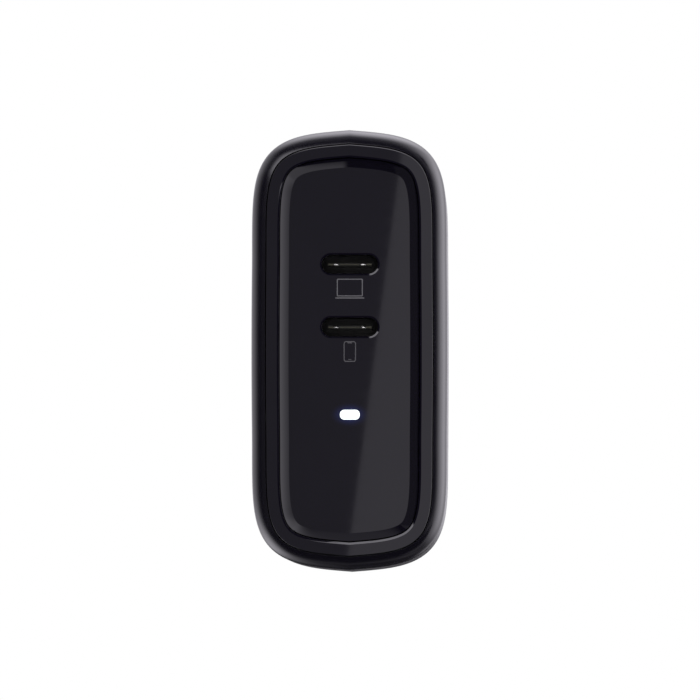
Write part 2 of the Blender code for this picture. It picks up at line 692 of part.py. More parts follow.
def make_plug():
    centre = (0.0, AXIS_Y, AXIS_Z)
    profile = [
        (PIN_R - 0.2, -PIN_END),
        (PIN_R, -PIN_END + 0.2),
        (PIN_R, -BARREL_HALF),
        (BARREL_R - 0.3, -BARREL_HALF),
        (BARREL_R, -BARREL_HALF + 0.3),
        (BARREL_R, BARREL_HALF - 0.3),
        (BARREL_R - 0.3, BARREL_HALF),
        (PIN_R, BARREL_HALF),
        (PIN_R, PIN_END - 0.2),
        (PIN_R - 0.2, PIN_END),
    ]
    carrier = turned("plug_carrier", profile, centre, "x", "plug_plastic", 32)
    fit = 0.12
    for side, sign in (("right", 1), ("left", -1)):
        x = sign * BLADE_X
        half = BLADE_T / 2 + fit
        tang = box(
            f"tang_slot_{side}",
            (x - half, AXIS_Y - 5.0, AXIS_Z - TANG_W / 2 - fit),
            (x + half, AXIS_Y + 3.0, AXIS_Z + TANG_W / 2 + fit),
            None,
        )
        cut(carrier, tang)
        wide = box(
            f"root_slot_{side}",
            (x - half, AXIS_Y + 0.8 - fit, AXIS_Z - 5.0),
            (x + half, AXIS_Y + 5.0, AXIS_Z + 5.0),
            None,
        )
        cut(carrier, wide)
    for name, dy, dz in (("open", -1, 0), ("shut", 0, -1)):
        reach = BARREL_R + 0.75
        y, z = AXIS_Y + dy * reach, AXIS_Z + dz * reach
        cut(carrier, prism(f"detent_{name}", circle(1.1, 12), "x", -1.6, 1.6, None, (y, z)))
    re_origin(carrier, centre)

    for name, sign in (("live_blade", 1), ("neutral_blade", -1)):
        x = sign * BLADE_X
        points = [(AXIS_Y + a, AXIS_Z + b) for a, b in blade_outline()]
        blade = prism(name, points, "x", x - BLADE_T / 2, x + BLADE_T / 2, "blade_nickel")
        hole = prism(f"{name}_hole", circle(1.55, 20), "x", x - 2, x + 2, None, (11.8, AXIS_Z))
        cut(blade, hole)
        re_origin(blade, (x, AXIS_Y, AXIS_Z))


def make_hinge_parts():
    half = BLOCK_HALF - 0.5
    low, high = (-half, RETAINER[0], 1.6), (half, RETAINER[1], 12.6)
    retainer = box("hinge_retainer", low, high, "retainer_plastic")
    for side, sign in (("right", 1), ("left", -1)):
        ends = sorted((sign * (BARREL_HALF + RUN + 0.15), sign * (PIN_END - 0.1)))
        finger = box(
            f"finger_{side}",
            (ends[0], RETAINER[1] - 0.5, AXIS_Z - 1.4),
            (ends[1], AXIS_Y - PIN_R - RUN, AXIS_Z + 1.4),
            None,
        )
        join(retainer, finger)
        slot = box(
            f"spring_slot_{side}",
            (sign * BLADE_X - 1.6, RETAINER[0] - 1, 5.5),
            (sign * BLADE_X + 1.6, RETAINER[1] + 1, 7.1),
            None,
        )
        cut(retainer, slot)
        bore = circle(1.2, 16)
        centre = (sign * SCREW_X, SCREW_Z)
        cut(retainer, prism(f"screw_hole_{side}", bore, "y", RETAINER[0] - 1, RETAINER[1] + 1, None, centre))
        screw = [
            (1.4, RETAINER[0] - SEAT - 1.3),
            (1.9, RETAINER[0] - SEAT - 1.0),
            (1.9, RETAINER[0] - SEAT),
            (0.8, RETAINER[0] - SEAT),
            (0.8, BLOCK_FACE + 3.4),
            (0.4, BLOCK_FACE + 4.0),
        ]
        turned(f"retainer_screw_{side}", screw, (sign * SCREW_X, 0.0, SCREW_Z), "y", "screw_steel", 16)

    tip_y = AXIS_Y - BARREL_R - RUN - 0.15
    for name, sign in (("line_contact_spring", 1), ("neutral_contact_spring", -1)):
        path = [(SPRING_TAIL, 6.3), (-9.2, 6.3), (-8.5, 6.7), (tip_y, AXIS_Z), (-8.4, 9.4)]
        x = sign * BLADE_X
        ribbon(name, path, 0.3, x - 1.2, x + 1.2, "spring_bronze")
    path = [(-8.85, 4.8), (-8.85, 6.4), (tip_y, AXIS_Z), (-8.6, 9.6)]
    ribbon("detent_spring", path, 0.3, -1.4, 1.4, "spring_bronze")


def lead(name, points, radius):
    curve = bpy.data.curves.new(name, "CURVE")
    curve.dimensions = "3D"
    curve.resolution_u = 6
    curve.bevel_depth = radius * MM
    curve.bevel_resolution = 2
    curve.use_fill_caps = True
    spline = curve.splines.new("BEZIER")
    spline.bezier_points.add(len(points) - 1)
    for knot, point in zip(spline.bezier_points, points):
        knot.co = Vector(point) * MM
        knot.handle_left_type = "AUTO"
        knot.handle_right_type = "AUTO"
    curve.materials.append(material("lead_sleeve"))
    obj = bpy.data.objects.new(name, curve)
    bpy.context.scene.collection.objects.link(obj)
    return obj


def make_leads():
    start = SPRING_TAIL - 0.35
    along = REAR - 0.9
    line = [(BLADE_X, start, 6.3), (BLADE_X - 0.75, along + 0.1, 9.0), (-3.0, along + 0.2, 11.6)]
    lead("line_lead", [*line, (TOP_OF_BOARD, along, 11.6)], 0.6)
    bend = (TOP_OF_BOARD - BLADE_X) / 2
    neutral = [(-BLADE_X, start, 6.3), (-BLADE_X - 0.25, along + 0.1, 4.5), (bend - 0.4, along, 1.9)]
    lead("neutral_lead", [*neutral, (TOP_OF_BOARD, along, 1.9)], 0.6)


def main():
    clear_scene()
    make_main_shell()
    make_back_cover()
    make_front()
    make_port("upper", PORT_Z[0])
    make_port("lower", PORT_Z[1])
    make_boards()
    make_transformer()
    make_components()
    make_plug()
    make_hinge_parts()
    make_leads()


main()
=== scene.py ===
"""Looks of a USB wall charger: a slim, near-black moulded housing with a dished, polished port face.

Lengths are in millimetres here and in metres in the scene. The port face looks along -Y and +Z is up.
"""

import json
import math

import bmesh
import bpy
import numpy as np
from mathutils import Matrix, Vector


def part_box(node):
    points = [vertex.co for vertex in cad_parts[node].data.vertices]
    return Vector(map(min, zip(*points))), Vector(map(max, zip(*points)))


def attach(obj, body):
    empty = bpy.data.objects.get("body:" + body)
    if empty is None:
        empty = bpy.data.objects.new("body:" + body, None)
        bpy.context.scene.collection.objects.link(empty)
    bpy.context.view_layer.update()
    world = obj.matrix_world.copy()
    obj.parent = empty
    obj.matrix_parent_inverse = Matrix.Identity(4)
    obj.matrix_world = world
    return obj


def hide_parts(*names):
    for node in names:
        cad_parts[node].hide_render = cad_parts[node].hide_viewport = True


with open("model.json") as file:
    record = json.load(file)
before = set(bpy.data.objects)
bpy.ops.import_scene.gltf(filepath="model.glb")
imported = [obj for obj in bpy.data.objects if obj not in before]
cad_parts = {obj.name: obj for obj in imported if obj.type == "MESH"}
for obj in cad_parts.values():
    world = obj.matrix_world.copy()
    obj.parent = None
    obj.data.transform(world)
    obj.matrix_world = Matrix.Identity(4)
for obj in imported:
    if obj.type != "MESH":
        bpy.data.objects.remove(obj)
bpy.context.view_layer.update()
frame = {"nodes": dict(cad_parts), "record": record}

MM = 0.001


def node_box(name):
    """Lowest and highest corner of a CAD node, in millimetres."""
    low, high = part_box(name)
    return low / MM, high / MM


SHELL_LOW, SHELL_HIGH = node_box("main_shell")
PANEL_LOW, PANEL_HIGH = node_box("port_panel")
COVER_LOW = node_box("back_cover")[0]

# Housing outline, as in the solids
WIDTH = SHELL_HIGH.x - SHELL_LOW.x
HEIGHT = SHELL_HIGH.z - SHELL_LOW.z
DEPTH = -SHELL_LOW.y
CAP = 19.7
SIDE_BOW = 0.08
RIDGE = 0.078
CAP_POWER_X = 3.66
CAP_POWER_Z = 4.53
QUARTER_POINTS = 49

# Housing front
SEAT = 0.3  # clearance where one piece seats in another
WALL = 2.0
LIP_INSET = 2.06
LIP_RADIUS = 2.83
LIP_END = math.radians(15)
SHELL_BACK = SHELL_HIGH.y
SHOULDER_INSET = 3.4
SHOULDER_FRONT = -DEPTH + 5.9
SHOULDER_BACK = -DEPTH + 9.7
RING_OUT = 2.23
RING_IN = 3.84
RING_CHAMFER = 0.28
RING_EASE, EASE_MORE = 0.022, 0.07  # its eased outer edge, and how much wider that is along the top
CHAMFER_SHIFT, CHAMFER_EXTRA = 0.04, 0.05  # the chamfer is further in and wider along the bottom
CHAMFER_SLOPE = math.tan(math.radians(11))
BOTTOM_SHIFT = -0.1  # the ring sits a little low
LIP_DROP, LIP_DROP_ENDS = 0.07, 0.15  # how far the ring stands proud, at the sides and at the ends
LINER = 6.4
GROOVE, LEDGE = 0.4, 1.4  # groove between ring and panel, thickness of the ledge behind the panel

# Dish
DISH_EDGE = 4.27
DISH_FLAT = 5.58
DISH_EXTRA = 0.14  # the dish starts further in along the bottom
DISH_DEPTH = 1.07
PANEL_EDGE = PANEL_LOW.y
PANEL_FACE = PANEL_EDGE + DISH_DEPTH
PANEL_BACK = PANEL_HIGH.y
PANEL_SHELF = PANEL_BACK + SEAT
OUTER_SLOPE = math.radians(33)
INNER_SLOPE = math.radians(28)

# Ports and indicator
UPPER_LOW, UPPER_HIGH = node_box("usb_c_shell_upper")
LOWER_LOW, LOWER_HIGH = node_box("usb_c_shell_lower")
DETAIL_X, DETAIL_Z = 0.07, -0.13  # small moves that the photograph asks for
PORT_Z = {
    "upper": (UPPER_LOW.z + UPPER_HIGH.z) / 2 + DETAIL_Z,
    "lower": (LOWER_LOW.z + LOWER_HIGH.z) / 2 + DETAIL_Z,
}
PORT_FRONT, PORT_REAR = UPPER_LOW.y, UPPER_HIGH.y
PORT_W, PORT_H = 8.98, 3.36
PORT_CHAMFER, PORT_CHAMFER_SLOPE = 0.25, math.tan(math.radians(13))
USB_W, USB_H = 8.94, 3.26
USB_SHEET, USB_RIM, USB_FIT = 0.3, 0.15, 0.05  # sheet, its rounded front, gap to the insert
TONGUE_W, TONGUE_T = 6.69, 0.7
TONGUE_TIP = PORT_FRONT + 0.75
TONGUE_ROOT = PORT_REAR - 1.6
PLATES = ((-3.25, -2.3, 0.16), (-1.4, 1.4, 0.085), (2.3, 3.25, 0.16))  # left, right, thickness
LATCH_X, LATCH_W, LATCH_H = 2.05, 0.8, 0.36
LATCH_TILT_X, LATCH_TILT_Z = -0.1, 0.24  # slope of their faces, which turns the glints
PIPE_LOW, PIPE_HIGH = node_box("light_pipe")
LED_Z = (PIPE_LOW.z + PIPE_HIGH.z) / 2 + DETAIL_Z - 0.03
LED_W, LED_H, LED_R = 2.86, 1.38, 0.6
LED_GAP = 0.05
LED_DEEP, LED_DOME = 0.07, 0.06  # how far its edge lies below the panel, and its rise to the middle
GLOW_NEAR, GLOW_FAR, GLOW = 0.8, 2.0, 0.06  # the light's halo, painted onto the panel as glow: distances and strength

# Pictograms, as heights above the middle
LAPTOP_Z = 9.36
LAPTOP_W, LAPTOP_H = 3.9, 2.66
LAPTOP_BASE_Z, LAPTOP_BASE_W = 7.8, 4.36
PHONE_Z = -0.23
PHONE_W, PHONE_H = 1.86, 3.1
PHONE_BARS = ((0.7, 0.2, 0.08), (0.5, 0.1, 0.2))  # top and bottom: width, height, distance inside
LINE_WIDTH = 0.15
INK = 0.012

# Folding plug, as in the solids
AXIS_Y, AXIS_Z = -3.6, 8.0
BARREL_R, PIN_R = 3.3, 1.5
RUN = 0.35  # clearance round what turns
BLOCK_HALF = WIDTH / 2 - 3.4
PIN_END = BLOCK_HALF - 0.6
BARREL_HALF = PIN_END - 1.7
BLADE_X, BLADE_T, BLADE_W, BLADE_REACH = 6.35, 1.5, 6.35, 20.1
TANG_W = 3.6
COVER_FACE = -2.7
BLOCK_FACE = COVER_LOW.y
BLOCK_LOW, BLOCK_TOP = -14.6, 13.8
SCOOP_Y, SCOOP_Z, SCOOP_R = 6.4, -9.0, 9.0
BLADE_HOLE_Y, BLADE_HOLE_R = 11.8, 1.55
SKIRT_INSET, SKIRT_FRONT, HOLLOW_INSET = 2.3, -6.0, 3.8
SEAM_DEEP, SEAM_GAP = 0.5, 0.03  # parting line between shell and cover, and the gap behind it

# Camera
CAMERA_AWAY = 3000.0
CAMERA_RIGHT = math.radians(0.475)
CAMERA_UP = math.radians(-0.90)
CAMERA_LENS, CAMERA_SENSOR = 1029.0, 36.0
AIM_X, AIM_Z = 0.11, -0.03


# ---------------------------------------------------------------- shapes


def quarter_curve():
    """One quarter of the outline from the middle of the side to the ridge, with outward normals."""
    half_w, half_h = WIDTH / 2, HEIGHT / 2
    end = half_h - CAP
    u = np.linspace(0.0, 1.0, 300)[:-1]
    side = np.column_stack([half_w - SIDE_BOW * u**2, end * u])
    t = np.linspace(0.0, math.pi / 2, 6000)
    x = (half_w - SIDE_BOW) * np.cos(t).clip(0) ** (2 / CAP_POWER_X)
    z = end + (CAP - RIDGE * x) * np.sin(t) ** (2 / CAP_POWER_Z)
    curve = np.vstack([side, np.column_stack([x, z])])
    steps = np.diff(curve, axis=0)
    length = np.hypot(steps[:, 0], steps[:, 1])
    curve = curve[np.concatenate([[True], length > 1e-6])]
    steps = np.diff(curve, axis=0)
    length = np.hypot(steps[:, 0], steps[:, 1])
    angle = np.unwrap(np.arctan2(steps[:, 1], steps[:, 0]))
    turn = np.concatenate([[0.0], np.abs(np.diff(angle))])
    measure = np.concatenate([[0.0], np.cumsum(0.3 * length / length.sum() + 0.7 * turn / turn.sum())])
    wanted = np.linspace(0.0, measure[-1], QUARTER_POINTS)
    points = np.column_stack([np.interp(wanted, measure, curve[:, k]) for k in (0, 1)])
    heading = np.interp(wanted, 0.5 * (measure[1:] + measure[:-1]), angle)
    normals = np.column_stack([np.sin(heading), -np.cos(heading)])
    normals[0] = (1.0, 0.0)
    normals[-1] = (0.0, math.sqrt(1 + RIDGE**2))
    return points, normals


QUARTER = quarter_curve()


def outline(inset, y, bottom_inset=0.0, bottom_y=0.0, ends_y=0.0, ends_inset=0.0):
    """The whole outline at y, moved in by inset.

    The bottom changes count where it faces down, and the ends changes where it faces up or down.
    """
    points, normals = QUARTER
    share = normals[:, 1:].clip(0, 1) ** 2
    halves = []
    for more_inset, more_y in ((ends_inset, ends_y), (bottom_inset + ends_inset, bottom_y + ends_y)):
        quarter = points - (inset + more_inset * share) * normals
        quarter[0, 1] = 0.0
        quarter[-1, 0] = 0.0
        halves.append(np.column_stack([quarter[:, 0], (y + more_y * share)[:, 0], quarter[:, 1]]))
    upper, lower = halves
    upper_left = upper[:-1][::-1] * (-1, 1, 1)
    lower_left = lower[1:] * (-1, 1, -1)
    lower_right = lower[1:-1][::-1] * (1, 1, -1)
    return [tuple(point) for point in np.vstack([upper, upper_left, lower_left, lower_right])]


def around(profile):
    """Rings that follow the housing outline, each from (inset, y) and outline's changes, if any."""
    return [outline(*place) for place in profile]


def rounded(corners, steps=5):
    """(a, b, radius) corners of a closed profile to points; radius 0 leaves a corner sharp."""
    points = []
    count = len(corners)
    for k, (a, b, radius) in enumerate(corners):
        here = Vector((a, b))
        if radius == 0:
            points.append((a, b))
            continue
        before = Vector(corners[k - 1][:2]) - here
        after = Vector(corners[(k + 1) % count][:2]) - here
        reach = radius / math.tan(before.angle(after) / 2)
        reach = min(reach, 0.48 * before.length, 0.48 * after.length)
        start = here + before.normalized() * reach
        end = here + after.normalized() * reach
        for j in range(steps + 1):
            t = j / steps
            points.append(tuple((1 - t) ** 2 * start + 2 * t * (1 - t) * here + t * t * end))
    return points


def rounded_rect(width, height, radius, corner=12):
    """Outline with round corners of so many steps each, counter-clockwise and without doubles."""
    points = []
    for sx, sz, start in ((1, 1, 0), (-1, 1, 90), (-1, -1, 180), (1, -1, 270)):
        for k in range(corner + 1):
            angle = math.radians(start + 90 * k / corner)
            x = sx * (width / 2 - radius) + radius * math.cos(angle)
            z = sz * (height / 2 - radius) + radius * math.sin(angle)
            if not points or math.dist((x, z), points[-1]) > 1e-6:
                points.append((x, z))
    if math.dist(points[0], points[-1]) < 1e-6:
        points.pop()
    return points


def stadium(width, height, corner=12):
    """Oval with straight long sides."""
    return rounded_rect(width, height, height / 2, corner)


def circle(radius, count=64):
    angles = [2 * math.pi * k / count for k in range(count)]
    return [(radius * math.cos(a), radius * math.sin(a)) for a in angles]


def flat_ring(points, y, centre=(0.0, 0.0)):
    """(x, z) points in the plane of one y."""
    return [(a + centre[0], y, b + centre[1]) for a, b in points]


def side_ring(points, x):
    """(y, z) points in the plane of one x."""
    return [(x, a, b) for a, b in points]


def finish_piece(bm, name, material, body="charger", replaces=(), sharp=22):
    """Turns a mesh in millimetres into a shaded piece that rides on a body."""
    bmesh.ops.recalc_face_normals(bm, faces=bm.faces)
    bmesh.ops.scale(bm, vec=(MM, MM, MM), verts=bm.verts)
    mesh = bpy.data.meshes.new(name)
    bm.to_mesh(mesh)
    bm.free()
    mesh.materials.append(material)
    mesh.shade_smooth()
    mesh.set_sharp_from_angle(angle=math.radians(sharp))
    piece = bpy.data.objects.new(name, mesh)
    bpy.context.scene.collection.objects.link(piece)
    normals = piece.modifiers.new("even_shading", "WEIGHTED_NORMAL")
    normals.mode = "FACE_AREA"
    normals.weight = 90
    normals.keep_sharp = True
    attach(piece, body)
    if replaces:
        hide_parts(*replaces)
    return piece


def crease_flat(mesh, y):
    """Sharpens every edge where the flat face at y meets another, so that it shades as truly flat."""
    flat = [abs(poly.normal.y) > 0.9999 and abs(poly.center.y - y * MM) < 1e-6 for poly in mesh.polygons]
    sides = {}
    for poly, is_flat in zip(mesh.polygons, flat):
        for key in poly.edge_keys:
            sides.setdefault(key, []).append(is_flat)
    sharp = mesh.attributes.get("sharp_edge") or mesh.attributes.new("sharp_edge", "BOOLEAN", "EDGE")
    for edge in mesh.edges:
        if len(set(sides[edge.key])) == 2:
            sharp.data[edge.index].value = True


def bridge(bm, rings, closed=False):
    """Adds rings of equal length, joined by faces, and returns their vertices."""
    grid = [[bm.verts.new(point) for point in ring] for ring in rings]
    pairs = list(zip(grid, grid[1:]))
    if closed:
        pairs.append((grid[-1], grid[0]))
    for a, b in pairs:
        for i in range(len(a)):
            j = (i + 1) % len(a)
            bm.faces.new((a[i], a[j], b[j], b[i]))
    return grid


def loft(rings, closed=False):
    """A solid along rings, capped at both ends, or closed on itself."""
    bm = bmesh.new()
    grid = bridge(bm, rings, closed)
    if not closed:
        bm.faces.new(grid[0])
        bm.faces.new(grid[-1])
    return bm


def prism(points, front, back, centre=(0.0, 0.0)):
    """A solid of one (x, z) outline between two y."""
    return loft([flat_ring(points, front, centre), flat_ring(points, back, centre)])


def crossbar(points, left, right):
    """A solid of one (y, z) outline between two x."""
    return loft([side_ring(points, left), side_ring(points, right)])


def box(low, high):
    ring = [(low[0], low[2]), (high[0], low[2]), (high[0], high[2]), (low[0], high[2])]
    return prism(ring, low[1], high[1])


def merge(target, part):
    """Adds the faces of one mesh to another and frees the first."""
    scratch = bpy.data.meshes.new("scratch")
    part.to_mesh(scratch)
    part.free()
    target.from_mesh(scratch)
    bpy.data.meshes.remove(scratch)


def as_object(bm, name):
    """A plain helper for the cuts, without a look."""
    bmesh.ops.recalc_face_normals(bm, faces=bm.faces)
    mesh = bpy.data.meshes.new(name)
    bm.to_mesh(mesh)
    bm.free()
    made = bpy.data.objects.new(name, mesh)
    bpy.context.scene.collection.objects.link(made)
    return made


def carve(base, tools):
    """A mesh after (operation, mesh) steps of union and difference; the helpers don't stay."""
    body = as_object(base, "carve_base")
    helpers = []
    for k, (operation, tool) in enumerate(tools):
        helper = as_object(tool, f"carve_tool_{k}")
        step = body.modifiers.new(f"step_{k}", "BOOLEAN")
        step.operation = operation
        step.solver = "EXACT"
        step.object = helper
        helpers.append(helper)
    graph = bpy.context.evaluated_depsgraph_get()
    result = bpy.data.meshes.new_from_object(body.evaluated_get(graph))
    for helper in [body, *helpers]:
        bpy.data.objects.remove(helper, do_unlink=True)
    bm = bmesh.new()
    bm.from_mesh(result)
    bpy.data.meshes.remove(result)
    bmesh.ops.remove_doubles(bm, verts=bm.verts, dist=1e-4)
    bmesh.ops.dissolve_limit(bm, angle_limit=math.radians(0.3), verts=bm.verts, edges=bm.edges)
    return bm


def soften(piece, width, angle=30, segments=3):
    """Small rounded edges on a piece that has been cut."""
    bevel = piece.modifiers.new("rounded_edges", "BEVEL")
    bevel.width = width * MM
    bevel.segments = segments
    bevel.limit_method = "ANGLE"
    bevel.angle_limit = math.radians(angle)
    piece.modifiers.move(piece.modifiers.find("even_shading"), len(piece.modifiers) - 1)


# ---------------------------------------------------------------- materials


class Shader:
    """A material and short ways to add its nodes."""

    def __init__(self, name, colour, roughness, metallic=0.0):
        self.material = bpy.data.materials.new(name)
        self.material.use_nodes = True
        self.tree = self.material.node_tree
        self.bsdf = self.tree.nodes["Principled BSDF"]
        self.bsdf.inputs["Base Color"].default_value = (*colour, 1.0)
        self.bsdf.inputs["Roughness"].default_value = roughness
        self.bsdf.inputs["Metallic"].default_value = metallic
        self.bsdf.inputs["IOR"].default_value = 1.6
        self.colour, self.roughness = colour, roughness
        self.place = self.node("ShaderNodeTexCoord").outputs["Object"]

    def node(self, kind, **settings):
        made = self.tree.nodes.new(kind)
        for key, value in settings.items():
            setattr(made, key, value)
        return made

    def link(self, output, socket):
        self.tree.links.new(output, socket)

    def mapped(self, scale):
        mapping = self.node("ShaderNodeMapping")
        mapping.inputs["Scale"].default_value = scale
        self.link(self.place, mapping.inputs["Vector"])
        return mapping.outputs["Vector"]

    def noise(self, scale, detail=4.0, stretch=(1.0, 1.0, 1.0)):
        made = self.node("ShaderNodeTexNoise")
        made.inputs["Scale"].default_value = scale
        made.inputs["Detail"].default_value = detail
        self.link(self.mapped(stretch), made.inputs["Vector"])
        return made.outputs["Fac"]

    def cells(self, scale, stretch=(1.0, 1.0, 1.0)):
        made = self.node("ShaderNodeTexVoronoi")
        made.inputs["Scale"].default_value = scale
        self.link(self.mapped(stretch), made.inputs["Vector"])
        return made.outputs["Distance"]

    def bands(self, scale, direction="Z", distortion=0.0):
        made = self.node("ShaderNodeTexWave", wave_type="BANDS", bands_direction=direction)
        made.inputs["Scale"].default_value = scale
        made.inputs["Distortion"].default_value = distortion
        self.link(self.place, made.inputs["Vector"])
        return made.outputs["Fac"]

    def ranged(self, value, low, high, start=0.3, end=0.7):
        made = self.node("ShaderNodeMapRange")
        made.inputs["From Min"].default_value = start
        made.inputs["From Max"].default_value = end
        made.inputs["To Min"].default_value = low
        made.inputs["To Max"].default_value = high
        self.link(value, made.inputs["Value"])
        return made.outputs["Result"]

    def vary_roughness(self, value, spread):
        wanted = self.ranged(value, self.roughness - spread, self.roughness + spread)
        self.link(wanted, self.bsdf.inputs["Roughness"])

    def vary_colour(self, value, other):
        mix = self.node("ShaderNodeMix", data_type="RGBA")
        mix.inputs["A"].default_value = (*self.colour, 1.0)
        mix.inputs["B"].default_value = (*other, 1.0)
        self.link(self.ranged(value, 0.0, 1.0), mix.inputs["Factor"])
        self.link(mix.outputs["Result"], self.bsdf.inputs["Base Color"])

    def bump(self, value, height_mm, strength=1.0):
        made = self.node("ShaderNodeBump")
        made.inputs["Strength"].default_value = strength
        made.inputs["Distance"].default_value = height_mm * MM
        self.link(value, made.inputs["Height"])
        before = self.bsdf.inputs["Normal"]
        if before.is_linked:
            self.link(before.links[0].from_socket, made.inputs["Normal"])
        self.link(made.outputs["Normal"], before)


BLACK = (0.0016, 0.0010, 0.0046)
BLACK_WORN = (0.0024, 0.0018, 0.0054)


def housing_plastic():
    """Moulded satin black, with a fine eroded grain and slight flow marks."""
    made = Shader("housing_plastic", BLACK, 0.22)
    made.vary_colour(made.noise(60.0, 3.0), BLACK_WORN)
    made.vary_roughness(made.noise(220.0, 4.0), 0.02)
    made.bump(made.cells(9000.0), 0.0016, 0.25)
    made.bump(made.noise(2500.0, 5.0), 0.001, 0.3)
    return made.material


def polished_plastic(name, roughness):
    """Polished black with a trace of orange peel and faint hairlines."""
    made = Shader(name, BLACK, roughness)
    made.vary_colour(made.noise(90.0, 2.0), BLACK_WORN)
    made.vary_roughness(made.noise(140.0, 5.0, (1.0, 1.0, 6.0)), 0.006)
    made.bump(made.noise(260.0, 2.0), 0.0006, 0.15)
    return made


def painted_glow_on_panel(made):
    """Painted glow: blue emission on the polished plastic right round the window stands in for the light
    it casts there.
    """
    offset = made.node("ShaderNodeVectorMath", operation="SUBTRACT")
    made.link(made.place, offset.inputs[0])
    offset.inputs[1].default_value = (DETAIL_X * MM, PANEL_FACE * MM, LED_Z * MM)
    squeeze = made.node("ShaderNodeVectorMath", operation="MULTIPLY")
    made.link(offset.outputs["Vector"], squeeze.inputs[0])
    squeeze.inputs[1].default_value = (0.62, 1.0, 1.0)
    length = made.node("ShaderNodeVectorMath", operation="LENGTH")
    made.link(squeeze.outputs["Vector"], length.inputs[0])
    near = made.ranged(length.outputs["Value"], 1.0, 0.0, GLOW_NEAR * MM, GLOW_FAR * MM)
    power = made.node("ShaderNodeMath", operation="POWER")
    made.link(near, power.inputs[0])
    power.inputs[1].default_value = 2.2
    scaled = made.node("ShaderNodeMath", operation="MULTIPLY")
    made.link(power.outputs["Value"], scaled.inputs[0])
    scaled.inputs[1].default_value = GLOW
    made.bsdf.inputs["Emission Color"].default_value = (0.12, 0.2, 1.0, 1.0)
    made.link(scaled.outputs["Value"], made.bsdf.inputs["Emission Strength"])


def light_material():
    """Frosted light pipe, lit from behind, its glow a little uneven."""
    made = Shader("light_pipe_lit", (0.9, 0.93, 0.95), 0.3)
    made.bsdf.inputs["Emission Color"].default_value = (0.92, 1.0, 0.985, 1.0)
    glow = made.ranged(made.noise(900.0, 3.0), 0.9, 0.98)
    made.link(glow, made.bsdf.inputs["Emission Strength"])
    made.bump(made.noise(3000.0, 2.0), 0.001, 0.2)
    return made.material


def ink_material(name, colour, other):
    """Thin grey print with a slightly uneven surface."""
    made = Shader(name, colour, 0.45)
    made.vary_colour(made.noise(5000.0, 3.0), other)
    made.bump(made.noise(6000.0, 3.0), 0.002, 0.4)
    return made.material


def metal_material(name, colour, roughness):
    """Plated sheet metal, with fine uneven grain."""
    made = Shader(name, colour, roughness, 1.0)
    made.vary_colour(made.noise(2500.0, 3.0), tuple(0.85 * c for c in colour))
    made.bump(made.noise(5000.0, 3.0), 0.001, 0.2)
    return made.material


# slot: colour, other colour, roughness, metallic, pattern, pattern scale, relief in mm
SLOT_LOOKS = {
    "connector_steel": ((0.24, 0.24, 0.235), (0.19, 0.19, 0.185), 0.4, 1.0, "brushed", 900.0, 0.003),
    "connector_plastic": ((0.03, 0.03, 0.027), (0.04, 0.04, 0.036), 0.5, 0.0, "grain", 2500.0, 0.004),
    "circuit_board": ((0.02, 0.11, 0.05), (0.035, 0.17, 0.08), 0.4, 0.0, "traces", 700.0, 0.02),
    "chip_epoxy": ((0.02, 0.02, 0.022), (0.035, 0.035, 0.037), 0.5, 0.0, "grain", 3000.0, 0.006),
    "ferrite": ((0.06, 0.06, 0.065), (0.035, 0.035, 0.04), 0.55, 0.0, "grain", 1800.0, 0.01),
    "bobbin_plastic": ((0.03, 0.03, 0.03), (0.045, 0.045, 0.045), 0.45, 0.0, "grain", 900.0, 0.004),
    "winding_tape": ((0.65, 0.5, 0.05), (0.5, 0.34, 0.03), 0.4, 0.0, "wound", 160.0, 0.03),
    "copper": ((0.72, 0.36, 0.2), (0.5, 0.2, 0.1), 0.28, 1.0, "wound", 420.0, 0.12),
    "capacitor_sleeve": ((0.02, 0.03, 0.07), (0.03, 0.045, 0.1), 0.3, 0.0, "grain", 600.0, 0.01),
    "film_capacitor": ((0.6, 0.5, 0.12), (0.52, 0.42, 0.09), 0.4, 0.0, "grain", 800.0, 0.01),
    "disc_capacitor": ((0.05, 0.16, 0.4), (0.04, 0.12, 0.32), 0.35, 0.0, "grain", 700.0, 0.03),
    "fuse_ceramic": ((0.75, 0.73, 0.68), (0.66, 0.63, 0.57), 0.3, 0.0, "grain", 900.0, 0.005),
    "sheet_insulation": ((0.75, 0.76, 0.78), (0.66, 0.67, 0.7), 0.45, 0.0, "grain", 500.0, 0.01),
    "spreader_aluminium": ((0.75, 0.76, 0.78), (0.62, 0.63, 0.65), 0.35, 1.0, "brushed", 700.0, 0.004),
    "plug_plastic": ((0.006, 0.0055, 0.009), (0.010, 0.009, 0.013), 0.34, 0.0, "grain", 2500.0, 0.003),
    "blade_nickel": ((0.36, 0.35, 0.33), (0.31, 0.30, 0.28), 0.38, 1.0, "brushed", 1200.0, 0.002),
    "spring_bronze": ((0.7, 0.45, 0.25), (0.58, 0.34, 0.17), 0.3, 1.0, "brushed", 900.0, 0.003),
    "screw_steel": ((0.55, 0.55, 0.57), (0.42, 0.42, 0.44), 0.3, 1.0, "brushed", 900.0, 0.003),
    "retainer_plastic": ((0.05, 0.05, 0.055), (0.07, 0.07, 0.075), 0.45, 0.0, "grain", 1500.0, 0.006),
    "lead_sleeve": ((0.75, 0.75, 0.72), (0.66, 0.66, 0.62), 0.5, 0.0, "grain", 900.0, 0.006),
}


